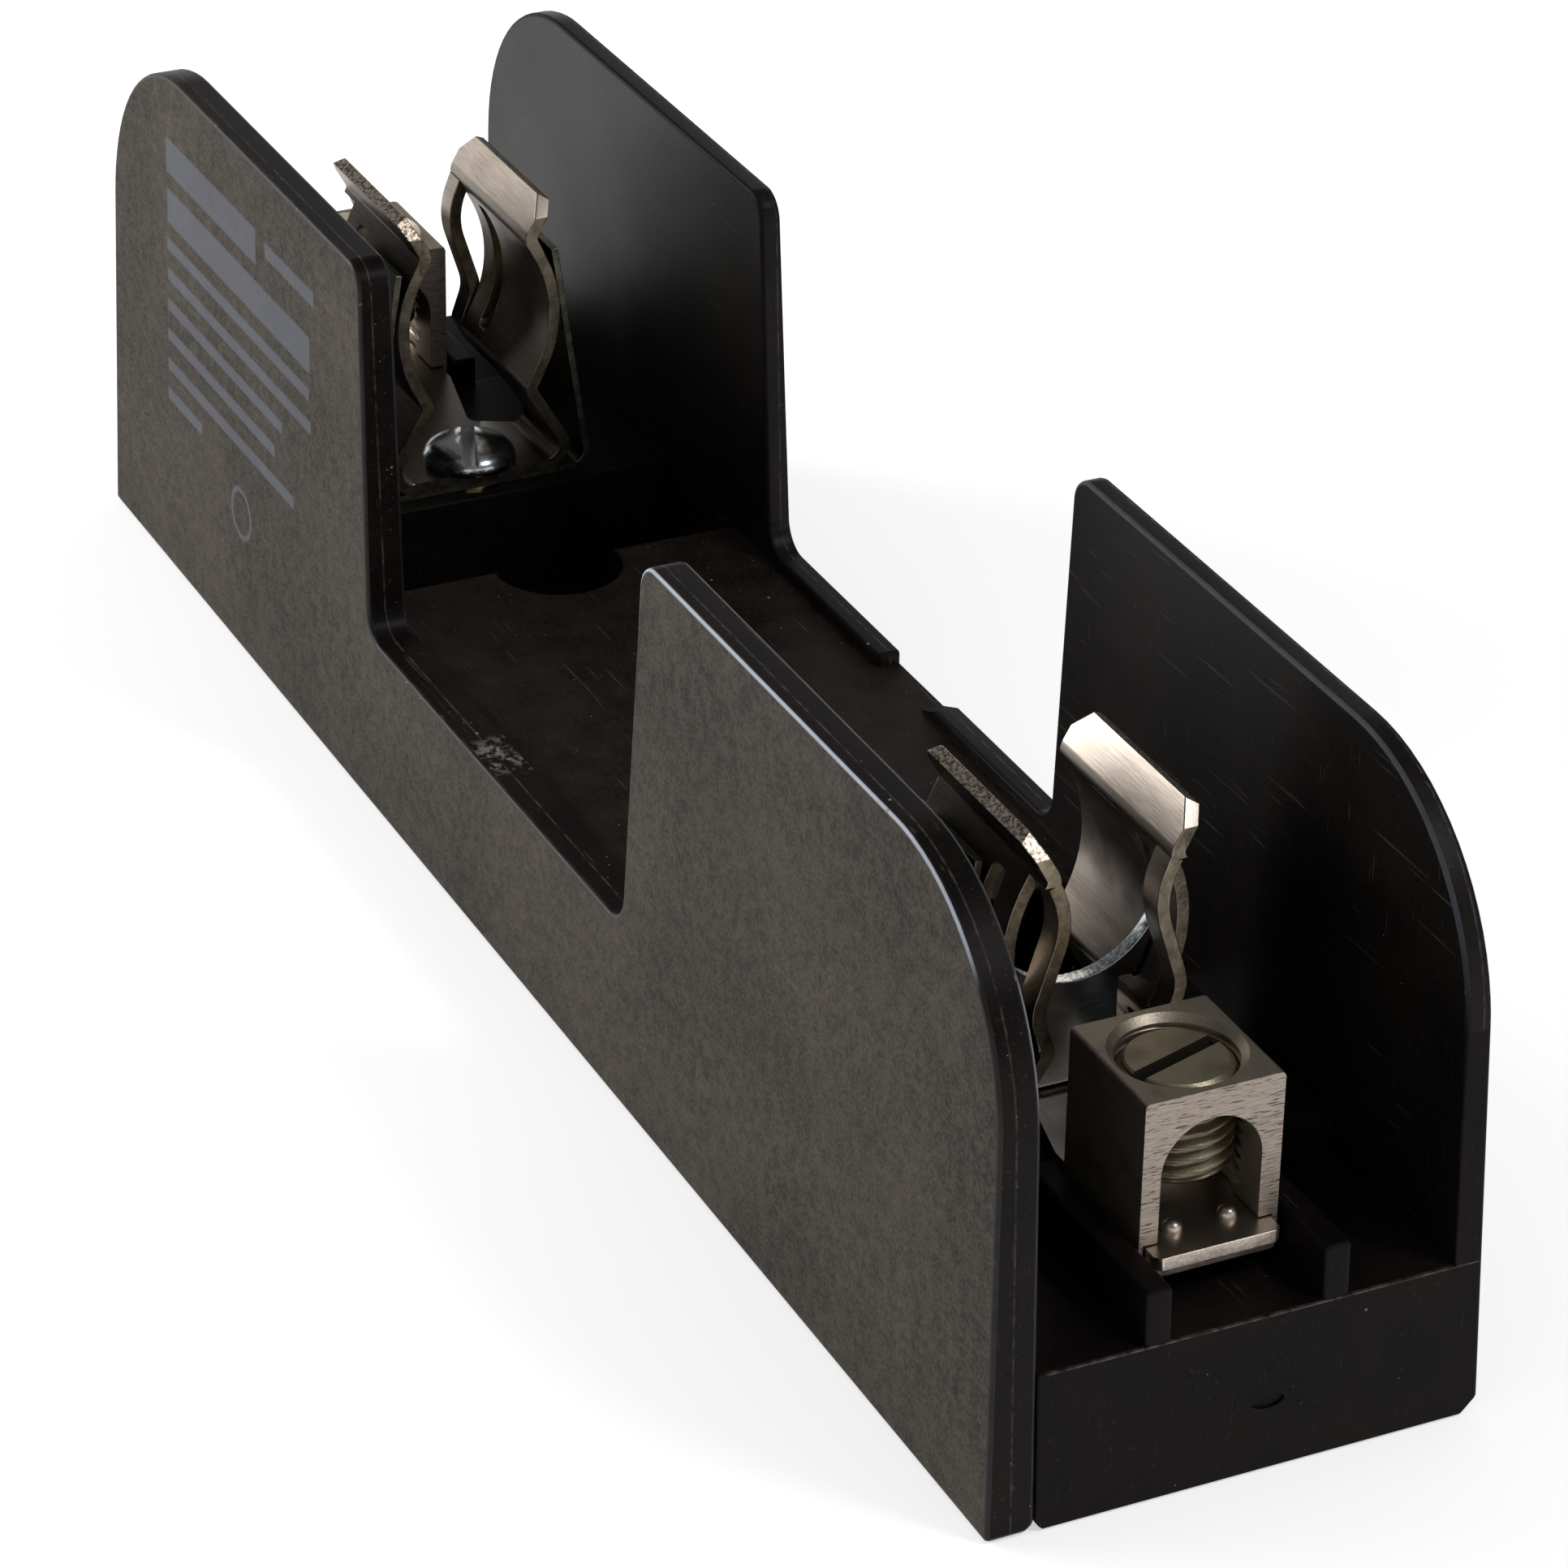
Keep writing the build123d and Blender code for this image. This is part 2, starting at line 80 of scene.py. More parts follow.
# %% [markdown]
# ## Maths on a surface
# A finish is mostly arithmetic on patterns: this noise times that mask, one minus the result. Wiring that
# by hand takes a node for every sign. A small class that wraps a socket lets Python's own operators add
# those nodes, so that a material reads like a formula.

# %% A socket that takes part in arithmetic
# A patch of noise seldom goes above NOISE_TOP, so a share of patches is counted down from there.
NOISE_TOP = 0.72
NOISE_STEP = 0.02
PATCH_PER_SPECK = 2.3


class Field:
    """A value that varies over a surface: one node's output, with the operators of a number."""

    def __init__(self, graph, socket):
        self.graph = graph
        self.socket = socket

    def math(self, operation, first, second):
        """One Math node on two values."""
        return self.graph.node("ShaderNodeMath", {"operation": operation}, {0: first, 1: second})

    def __add__(self, other):
        return self.math("ADD", self, other)

    def __sub__(self, other):
        return self.math("SUBTRACT", self, other)

    def __rsub__(self, other):
        return self.math("SUBTRACT", other, self)

    def __mul__(self, other):
        return self.math("MULTIPLY", self, other)

    __radd__ = __add__
    __rmul__ = __mul__

    def over(self, other):
        """The larger of two fields."""
        return self.math("MAXIMUM", self, other)

    def rise(self, low, high):
        """0 below low, 1 above high, and a smooth step between. With low above high it falls instead."""
        settings = {"interpolation_type": "SMOOTHSTEP"}
        if low <= high:
            return self.graph.node("ShaderNodeMapRange", settings, {0: self, 1: low, 2: high})
        step = self.graph.node("ShaderNodeMapRange", settings, {0: self, 1: high, 2: low})
        return 1 - step

    def near(self, middle, reach, softness):
        """1 within reach of a middle value, and 0 outside it."""
        offset = self.graph.node("ShaderNodeMath", {"operation": "ABSOLUTE"}, {0: self - middle})
        return offset.rise(reach + softness, reach)


class Graph:
    """A node tree that is filled from Python."""

    def __init__(self, tree):
        self.tree = tree

    def node(self, kind, settings, inputs, output=0):
        """Adds a node, sets it up, then gives its sockets their values or links."""
        made = self.tree.nodes.new(kind)
        for name, value in settings.items():
            setattr(made, name, value)
        for socket, value in inputs.items():
            if isinstance(value, Field):
                self.tree.links.new(value.socket, made.inputs[socket])
            else:
                made.inputs[socket].default_value = value
        return Field(self, made.outputs[output])

    def link(self, field, node, socket):
        """Feeds a field to a named socket of another node."""
        self.tree.links.new(field.socket, node.inputs[socket])

    def mix(self, factor, first, second):
        """One colour where factor is 0, the other where it is 1."""
        inputs = {0: factor, 6: first, 7: second}
        return self.node("ShaderNodeMix", {"data_type": "RGBA"}, inputs, 2)


class Finish(Graph):
    """A material on a metal or plastic surface, built on one Principled shader."""

    def __init__(self, name, **shader_values):
        self.material = bpy.data.materials.new(name)
        self.material.use_nodes = True
        super().__init__(self.material.node_tree)
        self.shader = self.tree.nodes["Principled BSDF"]
        for socket, value in shader_values.items():
            self.shader.inputs[socket.replace("_", " ")].default_value = value
        self.place = self.node("ShaderNodeTexCoord", {}, {}, "Object")

    def stretched(self, stretch, turn=(0, 0, 0)):
        """The place on the surface, squeezed so that a pattern on it runs long along one axis."""
        inputs = {"Vector": self.place, "Scale": stretch, "Rotation": turn}
        return self.node("ShaderNodeMapping", {}, inputs)

    def noise(self, size_mm, detail=3.0, where=None):
        """Cloudy noise from 0 to 1 with patches of about this size."""
        inputs = {"Vector": where or self.place, "Scale": 1 / (size_mm * MM), "Detail": detail}
        return self.node("ShaderNodeTexNoise", {}, inputs)

    def specks(self, spacing_mm, radius_mm, share):
        """Round specks: 1 inside a speck. Only this share of the possible ones is there."""
        inputs = {"Vector": self.place, "Scale": 1 / (spacing_mm * MM)}
        distance = self.node("ShaderNodeTexVoronoi", {}, inputs, "Distance")
        chance = self.noise(spacing_mm * PATCH_PER_SPECK, 1.0)
        reach = radius_mm / spacing_mm
        limit = NOISE_TOP - share
        return distance.rise(reach, reach / 2) * chance.rise(limit, limit + NOISE_STEP)

    def axis(self, letter):
        """One coordinate of the surface, in millimetres."""
        coordinate = self.node("ShaderNodeSeparateXYZ", {}, {0: self.place}, letter)
        return coordinate * (1 / MM)

    def bump(self, height, depth_mm):
        """A normal that follows this height, from 0 to 1, as relief of this depth."""
        inputs = {"Height": height, "Distance": depth_mm * MM, "Strength": 1.0}
        return self.node("ShaderNodeBump", {}, inputs)

    def feed(self, **fields):
        """Links fields to the shader's sockets: feed(Base_Color=..., Roughness=...)."""
        for socket, field in fields.items():
            self.link(field, self.shader, socket.replace("_", " "))
        return self.material


def tint(red, green, blue):
    """A colour from values as a picture editor gives them, 0 to 255, made linear for a shader."""
    linear = [((v / 255 + 0.055) / 1.055) ** 2.4 if v > 10 else v / 255 / 12.92 for v in (red, green, blue)]
    return (*linear, 1.0)


# %% [markdown]
# ## The moulding compound
# The body is black phenolic, a thermoset that leaves the mould glossy and goes brown and dull where
# it is handled. Three things make it look real: a cloudy change of brightness over a few millimetres,
# fine scratches that lie roughly along the block, and dust that stays as pale specks. The same recipe
# makes every phenolic surface, with the amounts changed, so it is written once as a function. Where one
# place differs, such as a parting line, a scuff, and the thin highlights painted along the end walls' top
# edges and the floor seam, a second function says where, as a mask of the coordinates.

# %% Phenolic
SCRATCH_TINT = tint(104, 97, 90)
DUST_TINT = tint(176, 168, 156)
# Pale tint for rubbed places and parting lines, and for the thin highlights painted along edges
RUBBED_AND_HIGHLIGHT_TINT = tint(150, 142, 134)


def phenolic(name, dark, light, roughness, gloss, cloud_mm, scratch_share, dust_share, pale=None):
    """One moulded surface. A pale function gives the places where the compound is rubbed light, and where a
    thin highlight is painted along an edge.
    """
    finish = Finish(name, Specular_IOR_Level=gloss)
    clouds = finish.noise(cloud_mm, 5.0)
    grain = finish.noise(0.35, 2.0)
    along = finish.stretched((1.0, 26.0, 26.0), (0.0, 0.12, 0.05))
    across = finish.stretched((24.0, 24.0, 1.3), (0.35, 0.25, 0.0))
    long_scratches = finish.noise(9.0, 2.0, along).rise(0.66, 0.74)
    short_scratches = finish.noise(5.0, 2.0, across).rise(0.69, 0.76)
    scratches = long_scratches.over(short_scratches) * scratch_share
    dust = finish.specks(1.9, 0.16, dust_share).over(finish.specks(0.8, 0.07, dust_share))
    tone = clouds.rise(0.3, 0.72) * 0.6 + grain.rise(0.3, 0.7) * 0.4
    colour = finish.mix(tone, dark, light)
    colour = finish.mix(scratches, colour, SCRATCH_TINT)
    colour = finish.mix(dust * 0.75, colour, DUST_TINT)
    dullness = clouds * 0.16 + grain * 0.10 + scratches * 0.2 + dust * 0.3 + (roughness - 0.13)
    height = grain * 0.5 + clouds * 0.5 + dust * 0.8 - scratches * 0.5
    if pale is not None:
        # The pale mask holds real rubbing and also the painted highlights of the end walls and the floor
        # seam
        rubbed = pale(finish) * finish.noise(0.9, 4.0).rise(0.3, 0.7)
        colour = finish.mix(rubbed, colour, RUBBED_AND_HIGHLIGHT_TINT)
        height = height + rubbed * 2.0
    return finish.feed(Base_Color=colour, Roughness=dullness, Normal=finish.bump(height, 0.02))


# Middles of lines and patches in millimetres, each with its half width and softness, and the heights
# between which the recess ends
WALL_RIM_MIDDLE = 18.6
PLATE_RIM_MIDDLE = -17.9
PARTING_WIDTH = (0.04, 0.08)
END_WALL_TOP = 12.58
END_WALL_X = 88.1
END_LINE_WIDTH = (0.04, 0.06)
SCUFF_X = -2.4
SCUFF_WIDTH = (1.6, 2.2)
RECESS_HEIGHTS = (17.0, 16.2)
FLOOR_SEAM = -15.85
SEAM_WIDTH = (0.1, 0.12)


def parting_line(finish, middle):
    """The faint ridge where the two halves of the mould met, along the middle of a rim."""
    return finish.axis("Y").near(middle, *PARTING_WIDTH) * 0.2


def end_wall_highlight(finish):
    """A thin highlight painted along the sharp top edge of each end wall."""
    x = finish.axis("X")
    at_an_end = x.rise(END_WALL_X, END_WALL_X + 0.2).over(x.rise(-END_WALL_X, -END_WALL_X - 0.2))
    return finish.axis("Z").near(END_WALL_TOP, *END_LINE_WIDTH) * at_an_end * 0.5


def plate_rim_wear(finish):
    """The parting line, and a scuffed patch in the middle of the recess."""
    scuff = finish.axis("X").near(SCUFF_X, *SCUFF_WIDTH) * finish.noise(0.7, 4.0).rise(0.45, 0.6)
    in_recess = finish.axis("Z").rise(*RECESS_HEIGHTS)
    return parting_line(finish, PLATE_RIM_MIDDLE).over(scuff * in_recess * 0.8)


def floor_seam_highlight(finish):
    """A thin highlight painted along the seam between the floor and the side plate."""
    return finish.axis("Y").near(FLOOR_SEAM, *SEAM_WIDTH) * 0.7


body_black = phenolic("phenolic_body", tint(12, 10, 9), tint(29, 23, 21), roughness=0.46, gloss=0.08,
                      cloud_mm=7.0, scratch_share=0.16, dust_share=0.03, pale=end_wall_highlight)
wall_black = phenolic("phenolic_wall", tint(13, 11, 10), tint(25, 22, 19), roughness=0.40, gloss=0.17,
                      cloud_mm=11.0, scratch_share=0.22, dust_share=0.02)
floor_dusty = phenolic("phenolic_floor", tint(20, 16, 14), tint(44, 35, 30), roughness=0.52, gloss=0.12,
                       cloud_mm=3.2, scratch_share=0.3, dust_share=0.14, pale=floor_seam_highlight)
wall_rim = phenolic("phenolic_wall_rim", tint(17, 14, 13), tint(35, 30, 28), roughness=0.42, gloss=0.12,
                    cloud_mm=7.0, scratch_share=0.25, dust_share=0.08,
                    pale=lambda finish: parting_line(finish, WALL_RIM_MIDDLE))
plate_rim = phenolic("phenolic_plate_rim", tint(12, 9, 8), tint(28, 22, 19), roughness=0.42, gloss=0.10,
                     cloud_mm=5.0, scratch_share=0.25, dust_share=0.16, pale=plate_rim_wear)
print("phenolic finishes:", [m.name for m in (body_black, wall_black, floor_dusty, wall_rim, plate_rim)])

# %% [markdown]
# ## Worn edges
# A rim's edge is nearly as dark as its faces, with nicks where the compound has flaked and shows its
# filler. On the near ears a thin painted highlight in the edge's colour stands for the light that it
# catches. The bevel modifier can give the faces that it makes a material of their own, so the chips and the
# painted highlight follow the edges exactly and need no painted mask. A function of the coordinates then
# says where the highlight is painted.

# %% Edge finish
EDGE_SHADOW = tint(14, 12, 11)
# Colour of the highlight that is painted along edges where the lamp would glint
EDGE_HIGHLIGHT_TINT = tint(196, 202, 214)
FILLER_TINT = tint(160, 154, 146)


def worn_and_highlit_edge(name, dull, roughness, gloss, chip_share, highlight_places):
    """A rim's edge. The highlight_places function gives the places where a highlight is painted into its
    colour.
    """
    finish = Finish(name, Specular_IOR_Level=gloss)
    patches = finish.noise(2.4, 4.0)
    chips = finish.specks(1.1, 0.3, chip_share) * finish.noise(12.0, 2.0).rise(0.48, 0.6)
    # Painted highlight: a pale line mixed into the edge's colour
    painted_highlight = highlight_places(finish) * (patches * 0.5 + 0.6)
    tone = finish.mix(patches.rise(0.35, 0.65), EDGE_SHADOW, dull)
    tone = finish.mix(painted_highlight, tone, EDGE_HIGHLIGHT_TINT)
    tone = finish.mix(chips * 0.7, tone, FILLER_TINT)
    dullness = patches * 0.25 + chips * 0.4 + roughness
    return finish.feed(Base_Color=tone, Roughness=dullness, Normal=finish.bump(patches + chips, 0.05))


# The plate's outer face leans inwards, so its outer edge is found by the depth behind that face. The
# pairs are where a line fades in along one axis, in millimetres, or fades out where the first is larger.
PLATE_FOOT_Y = -19.85
PLATE_DRAFT = 0.018
OUTER_LINE = (0.12, 0.05, 0.07)
OUTER_HEIGHTS = (41.5, 44.5)
NEAR_EAR = (25.5, 27.5)
INNER_SIDE = (-16.3, -16.15)
INNER_HEIGHTS = (38.0, 42.0)
ARC_START = (82.0, 84.0)
ARC_FOOT = (32.0, 36.0)
ARC_HEAD = (43.5, 41.0)
WALL_EAR = (20.0, 28.0)
WALL_HEIGHTS = (30.0, 42.0)
WALL_SIDE = (17.8, 17.6)


def plate_edge_highlight(finish):
    """Painted highlight: a thin line on the near ear's outer edge, and one on its inner edge where the top
    curves down.
    """
    x, y, z = (finish.axis(letter) for letter in "XYZ")
    depth = y - z * PLATE_DRAFT - PLATE_FOOT_Y
    outer_top = depth.near(*OUTER_LINE) * x.rise(*NEAR_EAR) * z.rise(*OUTER_HEIGHTS)
    inner_arc = y.rise(*INNER_SIDE) * x.rise(*ARC_START) * z.rise(*ARC_FOOT) * z.rise(*ARC_HEAD) * 0.6
    inner_top = y.rise(*INNER_SIDE) * x.rise(*NEAR_EAR) * z.rise(*INNER_HEIGHTS) * 0.1
    return outer_top.over(inner_arc).over(inner_top)


def body_edge_highlight(finish):
    """A faint painted highlight along the inner edge of the near right ear."""
    x, y, z = (finish.axis(letter) for letter in "XYZ")
    return x.rise(*WALL_EAR) * z.rise(*WALL_HEIGHTS) * y.rise(*WALL_SIDE) * 0.12


plate_edge = worn_and_highlit_edge("phenolic_plate_edge", tint(36, 32, 29), roughness=0.34, gloss=0.25,
                       chip_share=0.14, highlight_places=plate_edge_highlight)
body_edge = worn_and_highlit_edge("phenolic_body_edge", tint(22, 19, 17), roughness=0.42, gloss=0.1,
                      chip_share=0.08, highlight_places=body_edge_highlight)
print("edge finishes:", plate_edge.name, body_edge.name)

# %% [markdown]
# ## The outer face of the side plate
# This is the broad face that the light falls on: matt, brown-grey and evenly mottled, with hairline
# scratches. Its colour is lighter than the body's, partly as matt wear and partly as painted light for the
# lamp on that side. Its far ear carries a blank circuit label in faded pale paint: three filled bars, ruled
# lines to write on and a small ring. Each bar is a mask made of four smooth steps in millimetres, so the
# label needs no picture.

# %% Side plate face with a blank label
# Left, right, top and bottom of each filled bar, then left and right of each ruled line
BARS = [
    (-73.5, -51.5, 42.2, 38.9),
    (-73.4, -39.0, 37.4, 34.1),
    (-49.3, -38.0, 41.9, 40.5),
]
RULED_LINES = [
    (-73.6, -39.2), (-73.6, -38.8), (-73.7, -45.6),
    (-73.8, -47.4), (-73.9, -43.0), (-74.0, -65.5),
]
RULED_TOP = 32.6
RULED_PITCH = 2.95
RULED_HEIGHT = 1.15
LABEL_SOFTNESS = 0.12
RING_MIDDLE = (-55.8, 13.4)
RING_RADII = (2.0, 2.5)
RING_SOFTNESS = 0.1


def bar(x, z, left, right, top, bottom):
    """1 inside a painted bar, with a slightly soft edge as screen print has."""
    soft = LABEL_SOFTNESS
    wide = x.rise(left - soft, left + soft) * x.rise(right + soft, right - soft)
    return wide * z.rise(bottom - soft, bottom + soft) * z.rise(top + soft, top - soft)


def ring(finish, x_mm, z_mm, inner, outer):
    """1 inside a painted ring on a face that looks along Y."""
    shift = {"Vector": finish.place, "Location": (-x_mm * MM, 0, -z_mm * MM)}
    from_middle = finish.node("ShaderNodeMapping", {}, shift)
    on_face = finish.node("ShaderNodeVectorMath", {"operation": "MULTIPLY"}, {0: from_middle, 1: (1, 0, 1)})
    distance = finish.node("ShaderNodeVectorMath", {"operation": "LENGTH"}, {0: on_face}, "Value")
    radius = distance * (1 / MM)
    soft = RING_SOFTNESS
    return radius.rise(inner - soft, inner + soft) * radius.rise(outer + soft, outer - soft)


def blank_label(finish):
    """The bars, the ruled lines and the ring as one mask."""
    x, z = finish.axis("X"), finish.axis("Z")
    tops = [RULED_TOP - count * RULED_PITCH for count in range(len(RULED_LINES))]
    ruled = [(*line, top, top - RULED_HEIGHT) for line, top in zip(RULED_LINES, tops)]
    mask = ring(finish, *RING_MIDDLE, *RING_RADII)
    for sides in BARS + ruled:
        mask = mask.over(bar(x, z, *sides))
    return mask


def plate_outer_face():
    """Mottled, matt and scratched, with the label on it, and lighter than the body partly as painted light.
    """
    finish = Finish("phenolic_plate_face", Specular_IOR_Level=0.08)
    clouds = finish.noise(16.0, 6.0)
    mottle = finish.noise(1.3, 4.0)
    grain = finish.noise(0.3, 2.0)
    along = finish.stretched((1.0, 30.0, 30.0), (0.0, 0.3, 0.0))
    hairlines = finish.noise(8.0, 2.0, along).rise(0.67, 0.75)
    tone = clouds.rise(0.3, 0.7) * 0.3 + mottle.rise(0.3, 0.7) * 0.3 + grain.rise(0.38, 0.62) * 0.4
    # Lighter than the body's compound: partly matt wear, partly painted light for the lamp on this side
    colour = finish.mix(tone, tint(31, 28, 24), tint(90, 83, 74))
    colour = finish.mix(hairlines * 0.2, colour, tint(104, 98, 91))
    colour = finish.mix(finish.specks(2.6, 0.13, 0.05) * 0.5, colour, tint(120, 112, 100))
    colour = finish.mix(blank_label(finish) * (clouds * 0.3 + 0.45), colour, tint(108, 113, 122))
    dullness = clouds * 0.1 + grain * 0.15 - hairlines * 0.1 + 0.48
    surface = finish.bump(mottle * 0.6 + grain * 0.4, 0.03)
    return finish.feed(Base_Color=colour, Roughness=dullness, Normal=surface)


worn_and_lit_plate_face = plate_outer_face()
print("label:", len(BARS), "bars,", len(RULED_LINES), "ruled lines and a ring")

# %% [markdown]
# ## Bare and plated metal
# Four metals show at each end. The clip is bronze with bright plating that mirrors its surroundings, the
# spring behind it is darker steel, the rejection plate and the clip screw are bluish zinc, and the lug is
# aluminium. Rolled sheet has faint lines in one direction, so its noise is stretched along it. A cartridge
# rubs the middle of the clip's leaves, so one mask makes that lighter. A second one makes the foot of the
# leaves darker and paints shade over the whole far clip.
# A sheared edge looks different from a rolled face: paler, and torn where the die let go. How torn it
# looks is one number, so one function makes every cut edge.

# %% Rolled sheet
TARNISH_TINT = tint(112, 98, 78)
SPOT_TINT = tint(58, 50, 42)
SLID_TINT = tint(222, 210, 198)
# Darker tint for the foot of the clip's leaves, and painted shade over the whole far clip
FOOT_AND_FAR_SHADE_TINT = tint(74, 66, 58)


def rolled_sheet(name, dark, light, roughness, stretch, tarnish, rubbed=None, dull=None):
    """Rolled metal. The rubbed and dull functions give places that are lighter or darker; some of the
    darker ones are painted shade.
    """
    finish = Finish(name, Metallic=1.0)
    lines = finish.noise(2.5, 4.0, finish.stretched(stretch))
    clouds = finish.noise(5.0, 4.0)
    spots = finish.specks(1.6, 0.12, 0.08)
    colour = finish.mix(lines.rise(0.3, 0.7) * 0.5 + clouds * 0.5, dark, light)
    colour = finish.mix(clouds.rise(0.55, 0.75) * tarnish, colour, TARNISH_TINT)
    colour = finish.mix(spots * 0.6, colour, SPOT_TINT)
    if rubbed is not None:
        colour = finish.mix(rubbed(finish), colour, SLID_TINT)
        # Darker at the foot of the leaves, and painted shade on the far clip
        colour = finish.mix(dull(finish), colour, FOOT_AND_FAR_SHADE_TINT)
    dullness = lines * 0.12 + clouds * 0.1 + spots * 0.2 + (roughness - 0.1)
    surface = finish.bump(lines * 0.6 + clouds * 0.4, 0.006)
    return finish.feed(Base_Color=colour, Roughness=dullness, Normal=surface)


def sheared(name, bright, torn, roughness, coarse):
    """A cut edge: a coarse one shows its torn grain, a fine one is nearly smooth."""
    finish = Finish(name, Metallic=1.0)
    grain = finish.noise(0.3, 4.0)
    streaks = finish.noise(1.4, 3.0)
    tone = grain.rise(0.4, 0.6) * coarse + streaks.rise(0.3, 0.7) * (1 - coarse)
    colour = finish.mix(tone, torn, bright)
    dullness = grain * 0.25 + (roughness - 0.1)
    return finish.feed(Base_Color=colour, Roughness=dullness, Normal=finish.bump(grain, 0.05 * coarse))


# Heights and places along the block, in millimetres
LEAF_MIDDLE = (31.5, 2.2, 3.0)
LEAF_FOOT = (23.0, 2.5, 2.5)
STRAP_HEIGHTS = (18.0, 17.2)
STRAP_START = (66.0, 70.0)
FAR_HALF = (0.0, -20.0)


def clip_rubbed(finish):
    """The middle of the leaves, where a cartridge slides, and the strap under the wire."""
    x, z = finish.axis("X"), finish.axis("Z")
    strap = z.rise(*STRAP_HEIGHTS) * x.rise(*STRAP_START)
    leaves = z.near(*LEAF_MIDDLE) * (finish.noise(3.0, 3.0).rise(0.35, 0.6) * 0.5 + 0.4)
    return leaves.over(strap * 0.7)


def clip_foot_and_far_shade(finish):
    """Darker at the foot of the leaves, and painted shade over all of the far clip."""
    foot = finish.axis("Z").near(*LEAF_FOOT) * 0.55
    # Painted shade: all of the far clip is made darker than the near one
    return foot.over(finish.axis("X").rise(*FAR_HALF) * 0.42)


clip_plated = rolled_sheet("clip_plating", tint(116, 108, 99), tint(168, 158, 149), roughness=0.3,
                           stretch=(1, 22, 22), tarnish=0.3, rubbed=clip_rubbed, dull=clip_foot_and_far_shade)
spring_dark = rolled_sheet("spring_steel", tint(58, 62, 54), tint(98, 102, 90), roughness=0.3,
                           stretch=(1, 18, 18), tarnish=0.15)
zinc_bright = rolled_sheet("zinc_plating", tint(182, 190, 194), tint(226, 232, 236), roughness=0.2,
                           stretch=(20, 1, 20), tarnish=0.1)
insert_brass = rolled_sheet("insert_brass", tint(170, 140, 84), tint(212, 184, 120), roughness=0.3,
                            stretch=(1, 1, 12), tarnish=0.2)
clip_cut = sheared("clip_sheared_edge", tint(168, 157, 138), tint(118, 108, 90),
                   roughness=0.32, coarse=0.25)
clip_tip = sheared("clip_torn_edge", tint(226, 210, 194), tint(104, 92, 78), roughness=0.3, coarse=0.8)
strap_cut = sheared("strap_cut_edge", tint(236, 224, 212), tint(186, 172, 158), roughness=0.4, coarse=0.4)
spring_cut = sheared("spring_bright_edge", tint(160, 158, 142), tint(100, 98, 84),
                     roughness=0.34, coarse=0.3)
zinc_cut = sheared("zinc_edge", tint(224, 230, 234), tint(140, 146, 150), roughness=0.26, coarse=0.6)
print("finishes so far:", len(bpy.data.materials))

# %% [markdown]
# ## Sawn and extruded aluminium
# A box lug is a slice of extrusion, so it has two kinds of face. The two sawn ones are light and carry the
# teeth marks as short, nearly level streaks with burrs. The others are drawn skin, a darker warm grey with
# faint lines along the bar. The wire screw is turned from bar. Its top gets a lighter copy of that finish
# as painted light, and its thread gets a darker one as painted shade.

# %% Aluminium
GOUGE_TINT = tint(66, 58, 52)
STAIN_TINT = tint(92, 82, 70)


def sawn_aluminium(name, dark, light):
    """A face across the bar, with saw marks."""
    finish = Finish(name, Metallic=0.85)
    teeth = finish.noise(1.7, 4.0, finish.stretched((8, 1.2, 16), (0.12, 0, 0)))
    gouges = finish.noise(1.3, 2.0, finish.stretched((6, 1.0, 11), (0.2, 0, 0))).rise(0.6, 0.7)
    grain = finish.noise(0.25, 3.0)
    colour = finish.mix(teeth.rise(0.3, 0.7) * 0.6 + grain * 0.4, dark, light)
    colour = finish.mix(gouges * 0.75, colour, GOUGE_TINT)
    dullness = teeth * 0.2 + grain * 0.1 + 0.34
    surface = finish.bump(teeth * 0.6 + grain * 0.2 - gouges * 0.8, 0.06)
    return finish.feed(Base_Color=colour, Roughness=dullness, Normal=surface)


def drawn_aluminium(name, dark, light):
    """A face along the bar, or a turned one, with fine lines and stains."""
    finish = Finish(name, Metallic=0.9)
    lines = finish.noise(1.8, 4.0, finish.stretched((1, 14, 14)))
    grain = finish.noise(0.3, 3.0)
    stains = finish.noise(4.0, 4.0).rise(0.5, 0.72)
    colour = finish.mix(lines * 0.6 + grain * 0.4, dark, light)
    colour = finish.mix(stains * 0.35, colour, STAIN_TINT)
    dullness = lines * 0.12 + grain * 0.14 + 0.28
    surface = finish.bump(lines * 0.6 + grain * 0.4, 0.025)
    return finish.feed(Base_Color=colour, Roughness=dullness, Normal=surface)


lug_sawn = sawn_aluminium("lug_sawn_face", tint(144, 131, 120), tint(194, 181, 169))
lug_drawn = drawn_aluminium("lug_drawn_face", tint(150, 140, 124), tint(198, 186, 169))
# One turned finish in two tones: darker on the thread as painted shade, lighter on the top as painted light
screw_thread_painted_shade = drawn_aluminium("screw_thread_face_painted_shade", tint(96, 90, 75), tint(136, 128, 110))
screw_top_painted_light = drawn_aluminium("screw_top_face_painted_light", tint(160, 150, 126), tint(208, 196, 170))
print("aluminium finishes:", lug_sawn.name, lug_drawn.name, screw_thread_painted_shade.name, screw_top_painted_light.name)

# %% [markdown]
# ## Working on a solid's copy
# A CAD solid arrives as loose triangles, and it stays as it is in the frame. Its copy is stitched together
# and its flat triangles are dissolved into whole faces, which leaves clean edges that a bevel can follow.
# Real edges are never sharp, and a bevel of a few tenths of a millimetre is what makes them catch light.
# Faces are chosen by a test on where they are and which way they look, in place of picking them by hand.

# %% Helpers for copies of CAD solids
MERGE_DISTANCE = 0.002 * MM
FLAT_ANGLE = radians(0.7)
SMOOTH_ANGLE = radians(50)
EDGE_SEGMENTS = 2
NOTCH_ANGLE = radians(60)
NOTCH_SIDES = 9
LOOKS_ALONG = 0.9
LOOKS_ACROSS = 0.3
FACES_ONLY = (False, False, True)
bpy.context.scene.tool_settings.mesh_select_mode = FACES_ONLY


